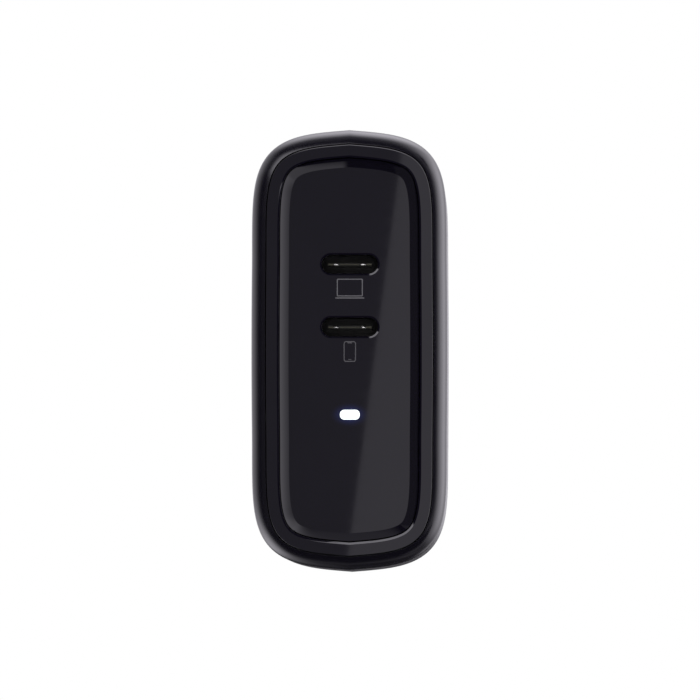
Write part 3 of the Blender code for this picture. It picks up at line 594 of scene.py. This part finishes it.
def slot_material(slot):
    """The look of a material slot, made when it is first asked for."""
    name = f"look_{slot}"
    if name in bpy.data.materials:
        return bpy.data.materials[name]
    colour, other, roughness, metallic, pattern, scale, relief = SLOT_LOOKS[slot]
    made = Shader(name, colour, roughness, metallic)
    if pattern == "brushed":
        fine = made.noise(scale, 5.0, (0.08, 0.08, 3.0))
    elif pattern == "wound":
        fine = made.bands(scale, "X", 0.6)
    elif pattern == "traces":
        fine = made.cells(scale, (1.0, 1.0, 2.0))
    else:
        fine = made.noise(scale, 6.0)
    made.vary_colour(made.noise(scale * 0.12, 4.0) if pattern != "traces" else fine, other)
    made.vary_roughness(made.noise(scale * 0.3, 3.0), 0.06)
    made.bump(fine, relief, 0.5)
    return made.material


HOUSING = housing_plastic()
RING = polished_plastic("bezel_plastic", 0.036).material
panel_shader = polished_plastic("panel_gloss", 0.032)
# the panel gets a painted glow round the light window
painted_glow_on_panel(panel_shader)
PANEL = panel_shader.material
LIGHT = light_material()
INK_LOOK = ink_material("pictogram_ink", (0.112, 0.108, 0.120), (0.10, 0.096, 0.108))
DIM_INK = ink_material("pictogram_ink_dim", (0.075, 0.071, 0.082), (0.062, 0.059, 0.068))
PLATE = metal_material("tongue_plate_steel", (0.155, 0.152, 0.11), 0.3)
LATCH = metal_material("tongue_latch_steel", (0.66, 0.66, 0.62), 0.2)


# ---------------------------------------------------------------- pieces


def make_shell():
    """Outer housing: one moulding with a rounded front edge that stops at the ring."""
    steps = 22
    lip = []
    for k in range(steps + 1):
        angle = math.pi / 2 + (LIP_END - math.pi / 2) * k / steps
        inset = LIP_INSET * (1 - math.sin(angle)) / (1 - math.sin(LIP_END))
        drop = LIP_RADIUS * (math.cos(LIP_END) - math.cos(angle))
        lip.append((inset, -DEPTH + LIP_DROP + drop, 0))
    lip[-1] = (*lip[-1][:2], 0.03)  # eased into the parting line
    corners = [(0.0, SHELL_BACK, 0.12), (0.0, SHELL_BACK - 1.0, 0), *lip]
    corners += [
        (LIP_INSET, SHOULDER_FRONT, 0.1),
        (SHOULDER_INSET, SHOULDER_FRONT, 0.1),
        (SHOULDER_INSET, SHOULDER_BACK, 0.3),
        (WALL, SHOULDER_BACK, 0.2),
        (WALL, SHELL_BACK, 0.1),
    ]
    profile = []
    for inset, y in rounded(corners):
        share = min(1.0, inset / LIP_INSET) if y < SHOULDER_FRONT - 0.2 else 0.0
        profile.append((inset, y, BOTTOM_SHIFT * share, 0.0, (LIP_DROP_ENDS - LIP_DROP) * share))
    finish_piece(
        loft(around(profile), closed=True),
        "housing_shell",
        HOUSING,
        replaces=["main_shell"],
    )


def make_ring():
    """Flat bezel ring, eased outside, with a shallow chamfer inside and a groove below it."""
    drop = RING_CHAMFER * CHAMFER_SLOPE
    inner = RING_IN + RING_CHAMFER
    corners = [
        (RING_OUT, -DEPTH + RING_EASE, 0),
        (RING_OUT + RING_EASE, -DEPTH, 0),
        (RING_IN, -DEPTH, 0.02),
        (inner, -DEPTH + drop, 0.03),
        (inner, PANEL_SHELF + GROOVE, 0),
        (inner + GROOVE, PANEL_SHELF, 0),
        (LINER, PANEL_SHELF, 0.1),
        (LINER, PANEL_SHELF + LEDGE, 0.1),
        (RING_IN + 0.4, PANEL_SHELF + LEDGE, 0.1),
        (RING_IN + 0.4, SHOULDER_FRONT - SEAT, 0.1),
        (RING_OUT, SHOULDER_FRONT - SEAT, 0.1),
    ]
    profile = []
    for inset, y in rounded(corners):
        at_front = y < PANEL_SHELF - 0.1 and inset > RING_IN - 0.05
        extra = CHAMFER_EXTRA * max(0.0, (inset - RING_IN) / RING_CHAMFER) if at_front else 0.0
        shift = BOTTOM_SHIFT + extra + (CHAMFER_SHIFT if at_front else 0.0)
        at_edge = y < -DEPTH + 0.1 and inset < RING_OUT + 0.1
        lowered = EASE_MORE if at_edge and inset < RING_OUT + 0.01 else 0.0
        moved_in = EASE_MORE if at_edge and inset > RING_OUT + 0.01 else 0.0
        # what the ends gain is taken off again at the bottom
        bottom_y = extra * CHAMFER_SLOPE - lowered
        profile.append((inset, y, shift - moved_in, bottom_y, lowered, moved_in))
    ring = finish_piece(
        loft(around(profile), closed=True),
        "bezel_ring",
        RING,
        replaces=["front_bezel"],
        sharp=9,
    )
    crease_flat(ring.data, -DEPTH)


def dish_profile():
    """Dish wall from its outer edge to the flat floor: steep at the edge, then easing."""
    steps = 14
    start, end = DISH_EDGE, DISH_FLAT
    points = []
    y = PANEL_FACE
    for k in range(steps, -1, -1):
        u = k / steps
        inset = start + (end - start) * u
        points.append((inset, y))
        slope = INNER_SLOPE + (OUTER_SLOPE - INNER_SLOPE) * (1 - u)
        y -= math.tan(slope) * (end - start) / steps
    return points[::-1]


def dish_share(inset):
    """One at the dish's edge, nothing at its floor."""
    return min(1.0, max(0.0, (DISH_FLAT - inset) / (DISH_FLAT - DISH_EDGE)))


def make_panel():
    """Polished dished panel with rounded holes for the ports and the light window."""
    bm = bmesh.new()
    dish = dish_profile()
    profile = [(DISH_EDGE, PANEL_BACK), *dish]
    profile = [(inset, y, BOTTOM_SHIFT + DISH_EXTRA * dish_share(inset)) for inset, y in profile]
    profile.append((DISH_FLAT + 0.03, PANEL_FACE, BOTTOM_SHIFT))
    grid = bridge(bm, around(profile))
    fronts, backs = [grid[-1]], [grid[0]]
    for z in PORT_Z.values():
        cone = PORT_CHAMFER * PORT_CHAMFER_SLOPE
        steps = [(0.0, 0.0), (PORT_CHAMFER, cone), (PORT_CHAMFER, PANEL_BACK - PANEL_FACE)]
        shapes = [(stadium(PORT_W - 2 * inset, PORT_H - 2 * inset, 16), deep) for inset, deep in steps]
        rings = [flat_ring(shape, PANEL_FACE + deep, (DETAIL_X, z)) for shape, deep in shapes]
        loops = bridge(bm, rings)
        fronts.append(loops[0])
        backs.append(loops[-1])
    rings = []
    for grow, deep in ((0.06, 0.0), (0.02, 0.015), (0.0, 0.06), (0.0, PANEL_BACK - PANEL_FACE)):
        gap = LED_GAP + grow
        shape = rounded_rect(LED_W + 2 * gap, LED_H + 2 * gap, LED_R + gap)
        rings.append(flat_ring(shape, PANEL_FACE + deep, (DETAIL_X, LED_Z)))
    loops = bridge(bm, rings)
    fronts.append(loops[0])
    backs.append(loops[-1])
    for loops in (fronts, backs):
        edges = []
        for loop in loops:
            edges += [bm.edges.get((loop[i], loop[(i + 1) % len(loop)])) for i in range(len(loop))]
        bmesh.ops.triangle_fill(bm, edges=edges, use_beauty=True, normal=(0.0, -1.0, 0.0))
    panel = finish_piece(
        bm, "port_panel_dished", PANEL, replaces=["port_panel"], sharp=12
    )
    crease_flat(panel.data, PANEL_FACE)


def make_port(name):
    """One receptacle: sheet-metal shell, insert with its tongue, the tongue's plates and latches."""
    z = PORT_Z[name]
    centre = (DETAIL_X, z)
    bm = bmesh.new()
    outer, inner = stadium(USB_W, USB_H), stadium(USB_W - 2 * USB_SHEET, USB_H - 2 * USB_SHEET)
    middle = stadium(USB_W - USB_SHEET, USB_H - USB_SHEET)
    rings = [
        flat_ring(outer, PORT_REAR, centre),
        flat_ring(outer, PORT_FRONT + USB_RIM, centre),
        flat_ring(middle, PORT_FRONT, centre),
        flat_ring(inner, PORT_FRONT + USB_RIM, centre),
        flat_ring(inner, PORT_REAR, centre),
    ]
    bridge(bm, rings, closed=True)
    steel = slot_material("connector_steel")
    shell_node = f"usb_c_shell_{name}"
    finish_piece(bm, f"usb_c_metal_{name}", steel, replaces=[shell_node], sharp=50)

    wide, high = USB_W - 2 * USB_SHEET - 2 * USB_FIT, USB_H - 2 * USB_SHEET - 2 * USB_FIT
    insert = prism(stadium(wide, high), TONGUE_ROOT, PORT_REAR, centre)
    shoulder = stadium(wide * 0.9, high * 0.62)
    merge(insert, prism(shoulder, TONGUE_ROOT - 1.2, TONGUE_ROOT + 0.4, centre))
    # rounded tip of the tongue, as (narrower by, thickness, depth)
    sections = ((0.25, 0.12, 0.0), (0.06, 0.42, 0.07), (0.0, TONGUE_T, 0.3))
    rings = []
    for inset, thick, deep in sections:
        points = rounded_rect(TONGUE_W - inset, thick, min(0.05, thick / 2.2), 4)
        rings.append(flat_ring(points, TONGUE_TIP + deep, centre))
    rings.append(flat_ring(rounded_rect(TONGUE_W, TONGUE_T, 0.05, 4), TONGUE_ROOT + 0.4, centre))
    merge(insert, loft(rings))
    plastic = slot_material("connector_plastic")
    insert_node = f"usb_c_insert_{name}"
    finish_piece(insert, f"usb_c_tongue_{name}", plastic, replaces=[insert_node])

    plate = bmesh.new()
    for left, right, thick in PLATES:
        points = rounded_rect(right - left, thick, thick / 2.2, 3)
        where = (DETAIL_X + (left + right) / 2, z)
        merge(plate, prism(points, TONGUE_TIP - 0.03, TONGUE_TIP + 0.2, where))
    finish_piece(plate, f"tongue_plate_{name}", PLATE)
    latches = bmesh.new()
    for side in (-1, 1):
        rings = []
        where = (DETAIL_X + side * LATCH_X, z)
        for scale, deep in ((0.7, -0.1), (1.0, -0.06), (1.0, 0.25)):
            points = rounded_rect(LATCH_W * scale, LATCH_H * scale, 0.13 * scale, 4)
            ring = flat_ring(points, TONGUE_TIP + deep, where)
            if deep < 0.0:
                tilts = [LATCH_TILT_X * (x - where[0]) + LATCH_TILT_Z * (c - z) for x, _, c in ring]
                ring = [(x, y + tilt, c) for (x, y, c), tilt in zip(ring, tilts)]
            rings.append(ring)
        merge(latches, loft(rings))
    finish_piece(latches, f"tongue_latches_{name}", LATCH, sharp=60)


def make_light():
    """Light pipe: a slightly domed face in the window and its tail down to the lamp."""
    centre = (DETAIL_X, LED_Z)
    rings = []
    for k in range(8):
        angle = math.pi / 2 * k / 7
        shrink = 1 - 0.12 * (1 - math.sin(angle)) - 0.5 * (1 - math.sin(angle)) ** 3
        points = rounded_rect(LED_W * shrink, LED_H * shrink, LED_R * shrink)
        rings.append(flat_ring(points, PANEL_FACE + LED_DEEP - LED_DOME * math.cos(angle), centre))
    flange = rounded_rect(LED_W + 1.6, LED_H + 1.6, LED_R + 0.8)
    tail = rounded_rect(LED_W - 0.4, LED_H - 0.2, LED_R - 0.15)
    seat = PANEL_BACK + SEAT
    rings.append(flat_ring(rounded_rect(LED_W, LED_H, LED_R), seat, centre))
    rings.append(flat_ring(flange, seat, centre))
    rings.append(flat_ring(flange, seat + 0.8, centre))
    rings.append(flat_ring(tail, seat + 0.8, centre))
    rings.append(flat_ring(tail, PIPE_HIGH.y, centre))
    finish_piece(loft(rings), "light_window", LIGHT, replaces=["light_pipe"], sharp=40)


def stroke(bm, outer, inner, centre):
    """A printed line between two outlines."""
    front, back = PANEL_FACE - INK, PANEL_FACE - 0.001
    rings = [
        flat_ring(outer, back, centre),
        flat_ring(outer, front, centre),
        flat_ring(inner, front, centre),
        flat_ring(inner, back, centre),
    ]
    part = bmesh.new()
    bridge(part, rings, closed=True)
    merge(bm, part)


def bar(bm, width, height, centre):
    """A printed bar with round ends."""
    points = rounded_rect(width, height, min(width, height) / 2.05, 4)
    merge(bm, prism(points, PANEL_FACE - 0.001, PANEL_FACE - INK, centre))


def make_pictograms():
    """A laptop below the upper port and a phone below the lower one, in thin printed lines."""
    bm = bmesh.new()
    outer = rounded_rect(LAPTOP_W, LAPTOP_H, 0.15, 6)
    inner = rounded_rect(LAPTOP_W - 2 * LINE_WIDTH, LAPTOP_H - 2 * LINE_WIDTH, 0.05, 6)
    stroke(bm, outer, inner, (DETAIL_X, LAPTOP_Z))
    bar(bm, LAPTOP_BASE_W, LINE_WIDTH * 1.15, (DETAIL_X, LAPTOP_BASE_Z))
    finish_piece(bm, "laptop_pictogram", INK_LOOK, sharp=40)
    bm = bmesh.new()
    outer = rounded_rect(PHONE_W, PHONE_H, 0.36, 6)
    inner = rounded_rect(PHONE_W - 2 * LINE_WIDTH, PHONE_H - 2 * LINE_WIDTH, 0.2, 6)
    stroke(bm, outer, inner, (DETAIL_X, PHONE_Z))
    for side, (width, height, inside) in zip((1, -1), PHONE_BARS):
        z = PHONE_Z + side * (PHONE_H / 2 - LINE_WIDTH - inside)
        bar(bm, width, height, (DETAIL_X, z))
    finish_piece(bm, "phone_pictogram", DIM_INK, sharp=40)


def make_back_cover():
    """Back cover with the plug's recess, blade slots and finger scoop cut out of one moulding."""
    corners = [
        (SKIRT_INSET, SKIRT_FRONT, 0),
        (SKIRT_INSET, SHELL_BACK + SEAM_GAP, 0),
        (SEAM_DEEP, SHELL_BACK + SEAM_GAP, 0),
        (SEAM_DEEP, COVER_FACE, 0),
        (0.0, COVER_FACE, 0.2),
        (0.0, 0.0, 1.2),
        (SKIRT_INSET, 0.0, 0),
    ]
    cover = loft(around(rounded(corners, 10)))
    hole = BARREL_R + RUN
    block = box((-BLOCK_HALF, BLOCK_FACE, BLOCK_LOW), (BLOCK_HALF, -2.0, BLOCK_TOP))
    low = (-BARREL_HALF - RUN, BLOCK_FACE - 2, AXIS_Z - hole)
    high = (BARREL_HALF + RUN, 2.0, AXIS_Z + hole)
    steps = [
        ("DIFFERENCE", loft(around([(HOLLOW_INSET, -10.0), (HOLLOW_INSET, -3.0)]))),
        ("UNION", block),
        ("DIFFERENCE", box(low, high)),
    ]
    cradle = PIN_R + RUN
    angles = [math.radians(-90 + 180 * k / 24) for k in range(25)]
    points = [(AXIS_Y + cradle * math.cos(a), AXIS_Z + cradle * math.sin(a)) for a in angles]
    points += [(BLOCK_FACE - 2, AXIS_Z + cradle), (BLOCK_FACE - 2, AXIS_Z - cradle)]
    ends = PIN_END + RUN
    steps.append(("DIFFERENCE", crossbar(points, -ends, ends)))
    half = BLADE_T / 2 + RUN + 0.1
    for sign in (1, -1):
        middle = sign * BLADE_X
        low = (middle - half, AXIS_Y - BLADE_W / 2 - RUN, AXIS_Z - BLADE_REACH - 0.6)
        high = (middle + half, 2.0, AXIS_Z + BLADE_W / 2 + RUN)
        steps.append(("DIFFERENCE", box(low, high)))
    scoop = [(SCOOP_Y + a, SCOOP_Z + b) for a, b in circle(SCOOP_R, 120)]
    scoop_half = BLOCK_HALF - 1.1
    steps.append(("DIFFERENCE", crossbar(scoop, -scoop_half, scoop_half)))
    piece = finish_piece(
        carve(cover, steps),
        "rear_cover",
        HOUSING,
        replaces=["back_cover"],
        sharp=30,
    )
    soften(piece, 0.18)


def blade_points():
    """(y, z) outline of a blade and its tang, with a rounded tip."""
    half, tip = BLADE_W / 2, BLADE_REACH
    upper = [(-3.2, 0.8), (-2.2, 0.8), (-2.2, TANG_W / 2), (0.8, TANG_W / 2), (0.8, half)]
    for k in range(9):
        angle = math.pi / 2 * k / 8
        upper.append((tip - 1.7 + 1.7 * math.sin(angle), half - 1.2 + 1.2 * math.cos(angle)))
    points = upper + [(a, -b) for a, b in upper][::-1]
    return [(AXIS_Y + a, AXIS_Z + b) for a, b in points]


def make_blade(name, node, sign):
    """Plug blade with its hole and eased edges."""
    x = sign * BLADE_X
    blade = crossbar(blade_points(), x - BLADE_T / 2, x + BLADE_T / 2)
    hole = [(BLADE_HOLE_Y + a, AXIS_Z + b) for a, b in circle(BLADE_HOLE_R, 48)]
    bm = carve(blade, [("DIFFERENCE", crossbar(hole, x - 2, x + 2))])
    nickel = slot_material("blade_nickel")
    piece = finish_piece(bm, name, nickel, body="plug", replaces=[node], sharp=30)
    soften(piece, 0.22)


def dress_cad_nodes():
    """Every node that keeps its solid gets its slot's material, smooth round faces and eased edges."""
    slots = {part["node"]: part["material_slot"] for part in frame["record"]["subparts"]}
    for name, node in frame["nodes"].items():
        if node.hide_render:
            continue
        slot = slots[name]
        look = HOUSING if slot == "housing_plastic" else slot_material(slot)
        node.data.materials.clear()
        node.data.materials.append(look)
        weld = node.modifiers.new("weld", "WELD")
        weld.merge_threshold = 1e-6
        low, high = node_box(name)
        thin = min(high - low)
        bevel = node.modifiers.new("eased_edges", "BEVEL")
        bevel.width = min(0.15, 0.08 * thin) * MM
        bevel.segments = 2
        bevel.limit_method = "ANGLE"
        bevel.angle_limit = math.radians(40)
        node.data.shade_smooth()
        even = node.modifiers.new("even_shading", "WEIGHTED_NORMAL")
        even.mode = "FACE_AREA"
        even.weight = 60


make_shell()
make_ring()
make_panel()
for port in PORT_Z:
    make_port(port)
make_light()
make_pictograms()
make_back_cover()
make_blade("right_blade", "live_blade", 1)
make_blade("left_blade", "neutral_blade", -1)
dress_cad_nodes()


# ---------------------------------------------------------------- studio


# What the gloss sees: off axis, azimuth, full within, gone beyond (degrees), radiance
SOFTBOXES = (
    (0, 0, 7, 15, 0.6),  # pale wall behind the camera
    (93, 0, 8, 50, 2.55),  # right
    (105, 45, 10, 56, 1.6),  # upper right
    (68, 45, 10, 32, 0.7),  # upper right, further forward
    (114, 90, 5, 42, 2.55),  # top
    (80, 90, 15, 32, 0.25),  # top, further forward
    (107, 222, 8, 45, 1.85),  # lower left
    (88, 220, 10, 30, 0.6),  # lower left, further forward
    (88, 315, 10, 45, 0.1),  # lower right
)
# Dark flags, which take their share off the pale room behind the object
FLAGS = ((120, 270, 22, 38, 0.92), (158, 270, 18, 24, 0.92), (105, 315, 10, 38, 0.8))
ROOM_START, ROOM_END = 70.0, 118.0
ROOM_DARK, ROOM_PALE = 0.04, 0.9
STUDIO_TINT = (0.975, 0.945, 1.02)
PLAIN_LIGHT = 0.7  # what every diffuse surface sees


def direction(off_axis, azimuth):
    """Unit vector off_axis degrees away from the line towards the camera, azimuth from +X up."""
    a, b = math.radians(off_axis), math.radians(azimuth)
    return (math.sin(a) * math.cos(b), -math.cos(a), math.sin(a) * math.sin(b))


def edge(first, second):
    """Direction square to the straight edge through two others, so that the edge is 90 degrees away."""
    across = Vector(direction(*first)).cross(Vector(direction(*second)))
    return tuple(across.normalized())


# Large softboxes with straight edges: each is a product of changes with the angle from a direction
LENS = direction(0, 0)  # straight out of the port face
WINDOWS = (
    # upper left, in front
    (
        (LENS, 34, 64, 2.75, 0.15),
        (LENS, 16, 18, 0.0, 1.0),
        (edge((22, 82), (42, 108)), 88.5, 91.5, 1.0, 0.0),
        (edge((24, 88), (42, 115)), 88.5, 91.5, 1.0, 0.0),
        (edge((60, 157), (22, 150)), 88.5, 91.5, 1.0, 0.0),
    ),
    # lower right, in front
    (
        (direction(60, 304), 24, 42, 0.65, 0.0),
        (LENS, 68, 84, 1.0, 0.0),
        (LENS, 32, 44, 0.0, 1.0),
        (direction(90, 270), 24, 36, 0.0, 1.0),
        (edge((30, 271), (66, 271)), 88.8, 91.2, 1.0, 0.0),
    ),
)


def make_world():
    """White for the camera; a studio of softboxes and dark flags in the gloss; plain light elsewhere."""
    world = bpy.data.worlds.new("studio")
    bpy.context.scene.world = world
    world.use_nodes = True
    world.cycles.sampling_method = "NONE"
    tree = world.node_tree
    tree.nodes.clear()

    def node(kind, **settings):
        made = tree.nodes.new(kind)
        for key, value in settings.items():
            setattr(made, key, value)
        return made

    def math_node(operation, first, second):
        made = node("ShaderNodeMath", operation=operation)
        for socket, value in zip(made.inputs, (first, second)):
            if isinstance(value, (int, float)):
                socket.default_value = value
            else:
                tree.links.new(value, socket)
        return made.outputs["Value"]

    where = node("ShaderNodeTexCoord").outputs["Generated"]

    def ramp(centre, near, far, at_near, at_far):
        """A smooth change with the angle from a direction."""
        dot = node("ShaderNodeVectorMath", operation="DOT_PRODUCT")
        tree.links.new(where, dot.inputs[0])
        dot.inputs[1].default_value = centre
        angle = node("ShaderNodeMath", operation="ARCCOSINE")
        tree.links.new(dot.outputs["Value"], angle.inputs[0])
        change = node("ShaderNodeMapRange", interpolation_type="SMOOTHSTEP")
        change.inputs["From Min"].default_value = math.radians(near)
        change.inputs["From Max"].default_value = math.radians(far)
        change.inputs["To Min"].default_value = at_near
        change.inputs["To Max"].default_value = at_far
        tree.links.new(angle.outputs["Value"], change.inputs["Value"])
        return change.outputs["Result"]

    total = ramp(LENS, ROOM_START, ROOM_END, ROOM_DARK, ROOM_PALE)
    for off_axis, azimuth, near, far, share in FLAGS:
        flag = ramp(direction(off_axis, azimuth), near, far, 1 - share, 1.0)
        total = math_node("MULTIPLY", total, flag)
    for off_axis, azimuth, near, far, radiance in SOFTBOXES:
        total = math_node("ADD", total, ramp(direction(off_axis, azimuth), near, far, radiance, 0.0))
    for changes in WINDOWS:
        window = ramp(*changes[0])
        for change in changes[1:]:
            window = math_node("MULTIPLY", window, ramp(*change))
        total = math_node("ADD", total, window)

    path = node("ShaderNodeLightPath")
    gloss = math_node("ADD", path.outputs["Is Glossy Ray"], path.outputs["Is Transmission Ray"])
    is_gloss = math_node("MINIMUM", gloss, 1.0)
    plain = node("ShaderNodeMix", data_type="FLOAT")
    plain.inputs["A"].default_value = PLAIN_LIGHT
    tree.links.new(total, plain.inputs["B"])
    tree.links.new(is_gloss, plain.inputs["Factor"])
    tint = node("ShaderNodeMix", data_type="RGBA")
    tint.inputs["A"].default_value = (1.0, 1.0, 1.0, 1.0)
    tint.inputs["B"].default_value = (*STUDIO_TINT, 1.0)
    tree.links.new(is_gloss, tint.inputs["Factor"])
    seen = node("ShaderNodeMix", data_type="FLOAT")
    tree.links.new(plain.outputs["Result"], seen.inputs["A"])
    seen.inputs["B"].default_value = 1.0
    tree.links.new(path.outputs["Is Camera Ray"], seen.inputs["Factor"])
    background = node("ShaderNodeBackground")
    tree.links.new(tint.outputs["Result"], background.inputs["Color"])
    tree.links.new(seen.outputs["Result"], background.inputs["Strength"])
    output = node("ShaderNodeOutputWorld")
    tree.links.new(background.outputs["Background"], output.inputs["Surface"])


# The flag in front of the face
FLAG_AWAY = 200.0
FLAG_EDGE_X = 2.06  # where the flag's edge crosses the height of the middle
FLAG_LEAN = 0.1333
FLAG_LEFT, FLAG_TOP, FLAG_BOTTOM = -24.0, 39.5, -40.0
FLAG_TONE = 0.222
# Dark cards nearer the object, as (left, right, bottom, top, tone)
CARD_AWAY = 40.0
CARDS = {
    "card_below": (-30, 90, -130, -46, 0.03),
    "card_upper_right": (48, 78, 62, 98, 0.03),
    "card_left": (-75, -17, -46, 34, 0.1),
}


def gloss_only(card):
    """Hides a card from all but reflections."""
    card.visible_camera = False
    card.visible_diffuse = False
    card.visible_transmission = False
    card.visible_shadow = False
    card.visible_volume_scatter = False


def make_card(name, corners, away, tone):
    """Flat card in front of the face, seen only in reflections; corners are (x, z)."""
    bm = bmesh.new()
    y = -DEPTH - away
    bm.faces.new([bm.verts.new((x * MM, y * MM, z * MM)) for x, z in corners])
    mesh = bpy.data.meshes.new(name)
    bm.to_mesh(mesh)
    bm.free()
    card = bpy.data.objects.new(name, mesh)
    bpy.context.scene.collection.objects.link(card)
    look = bpy.data.materials.new(f"{name}_cloth")
    look.use_nodes = True
    look.node_tree.nodes.clear()
    emission = look.node_tree.nodes.new("ShaderNodeEmission")
    emission.inputs["Color"].default_value = (*STUDIO_TINT, 1.0)
    emission.inputs["Strength"].default_value = tone
    output = look.node_tree.nodes.new("ShaderNodeOutputMaterial")
    look.node_tree.links.new(emission.outputs["Emission"], output.inputs["Surface"])
    look.cycles.emission_sampling = "NONE"
    mesh.materials.append(look)
    gloss_only(card)


def make_cards():
    """A flag, whose leaning edge divides the polished face into two tones, and darker cards."""
    corners = [
        (FLAG_LEFT, FLAG_BOTTOM),
        (FLAG_EDGE_X + FLAG_LEAN * FLAG_BOTTOM, FLAG_BOTTOM),
        (FLAG_EDGE_X + FLAG_LEAN * FLAG_TOP, FLAG_TOP),
        (FLAG_LEFT, FLAG_TOP),
    ]
    make_card("dark_flag", corners, FLAG_AWAY, FLAG_TONE)
    for name, (left, right, bottom, top, tone) in CARDS.items():
        corners = [(left, bottom), (right, bottom), (right, top), (left, top)]
        make_card(name, corners, CARD_AWAY, tone)


FLOOR_HALF, FLOOR_LEVEL = 4.0, -0.075  # metres
FLOOR_LIFT = 0.13


def make_floor():
    """Pale paper that keeps the object's shadow; clear when seen from below."""
    mesh = bpy.data.meshes.new("floor")
    half, level = FLOOR_HALF, FLOOR_LEVEL
    corners = [(-half, -half, level), (half, -half, level), (half, half, level), (-half, half, level)]
    mesh.from_pydata(corners, [], [(0, 1, 2, 3)])
    floor = bpy.data.objects.new("floor", mesh)
    bpy.context.scene.collection.objects.link(floor)
    made = Shader("floor_paper", (0.9, 0.9, 0.9), 0.9)
    made.vary_colour(made.noise(3.0, 2.0), (0.88, 0.88, 0.88))
    made.bsdf.inputs["Specular IOR Level"].default_value = 0.0
    made.bsdf.inputs["Emission Color"].default_value = (1.0, 1.0, 1.0, 1.0)
    path = made.node("ShaderNodeLightPath")
    seen = made.node("ShaderNodeMath", operation="ADD", use_clamp=True)
    made.link(path.outputs["Is Camera Ray"], seen.inputs[0])
    made.link(path.outputs["Is Transmission Ray"], seen.inputs[1])
    lift = made.node("ShaderNodeMath", operation="MULTIPLY")
    made.link(seen.outputs["Value"], lift.inputs[0])
    lift.inputs[1].default_value = FLOOR_LIFT
    made.link(lift.outputs["Value"], made.bsdf.inputs["Emission Strength"])
    clear = made.node("ShaderNodeBsdfTransparent")
    below = made.node("ShaderNodeMixShader")
    made.link(made.node("ShaderNodeNewGeometry").outputs["Backfacing"], below.inputs["Fac"])
    made.link(made.bsdf.outputs["BSDF"], below.inputs[1])
    made.link(clear.outputs["BSDF"], below.inputs[2])
    made.link(below.outputs["Shader"], made.tree.nodes["Material Output"].inputs["Surface"])
    mesh.materials.append(made.material)
    floor.visible_glossy = False


# Plain soft lamps: place and size in metres, and power
LAMPS = (
    ("key", (0.9, -1.3, 1.2), 0.8, 9.0),
    ("fill", (-1.2, -1.0, 0.5), 1.0, 4.0),
    ("rear", (0.2, 1.4, 1.0), 0.9, 6.0),
)


def area_light(name, place, size, watts):
    """A square lamp that faces the object and doesn't show in the gloss."""
    data = bpy.data.lights.new(name, "AREA")
    data.shape = "SQUARE"
    data.size = size
    data.energy = watts
    light = bpy.data.objects.new(name, data)
    light.location = place
    light.rotation_euler = (-Vector(place)).to_track_quat("-Z", "Y").to_euler()
    light.visible_glossy = False
    bpy.context.scene.collection.objects.link(light)


def make_camera():
    """Long lens in front of the port face, a little to the right of its axis and below it."""
    data = bpy.data.cameras.new("camera")
    data.lens = CAMERA_LENS
    data.sensor_width = CAMERA_SENSOR
    data.clip_start, data.clip_end = 0.05, 100.0
    camera = bpy.data.objects.new("camera", data)
    aim = Vector((AIM_X, -DEPTH, AIM_Z)) * MM
    a, b = CAMERA_RIGHT, CAMERA_UP
    back = Vector((math.sin(a) * math.cos(b), -math.cos(a) * math.cos(b), math.sin(b)))
    camera.location = aim + back * CAMERA_AWAY * MM
    camera.rotation_euler = (-back).to_track_quat("-Z", "Y").to_euler()
    bpy.context.scene.collection.objects.link(camera)
    bpy.context.scene.camera = camera


make_world()
make_cards()
make_floor()
for lamp in LAMPS:
    area_light(*lamp)
make_camera()

bpy.context.scene.view_settings.view_transform = "Standard"
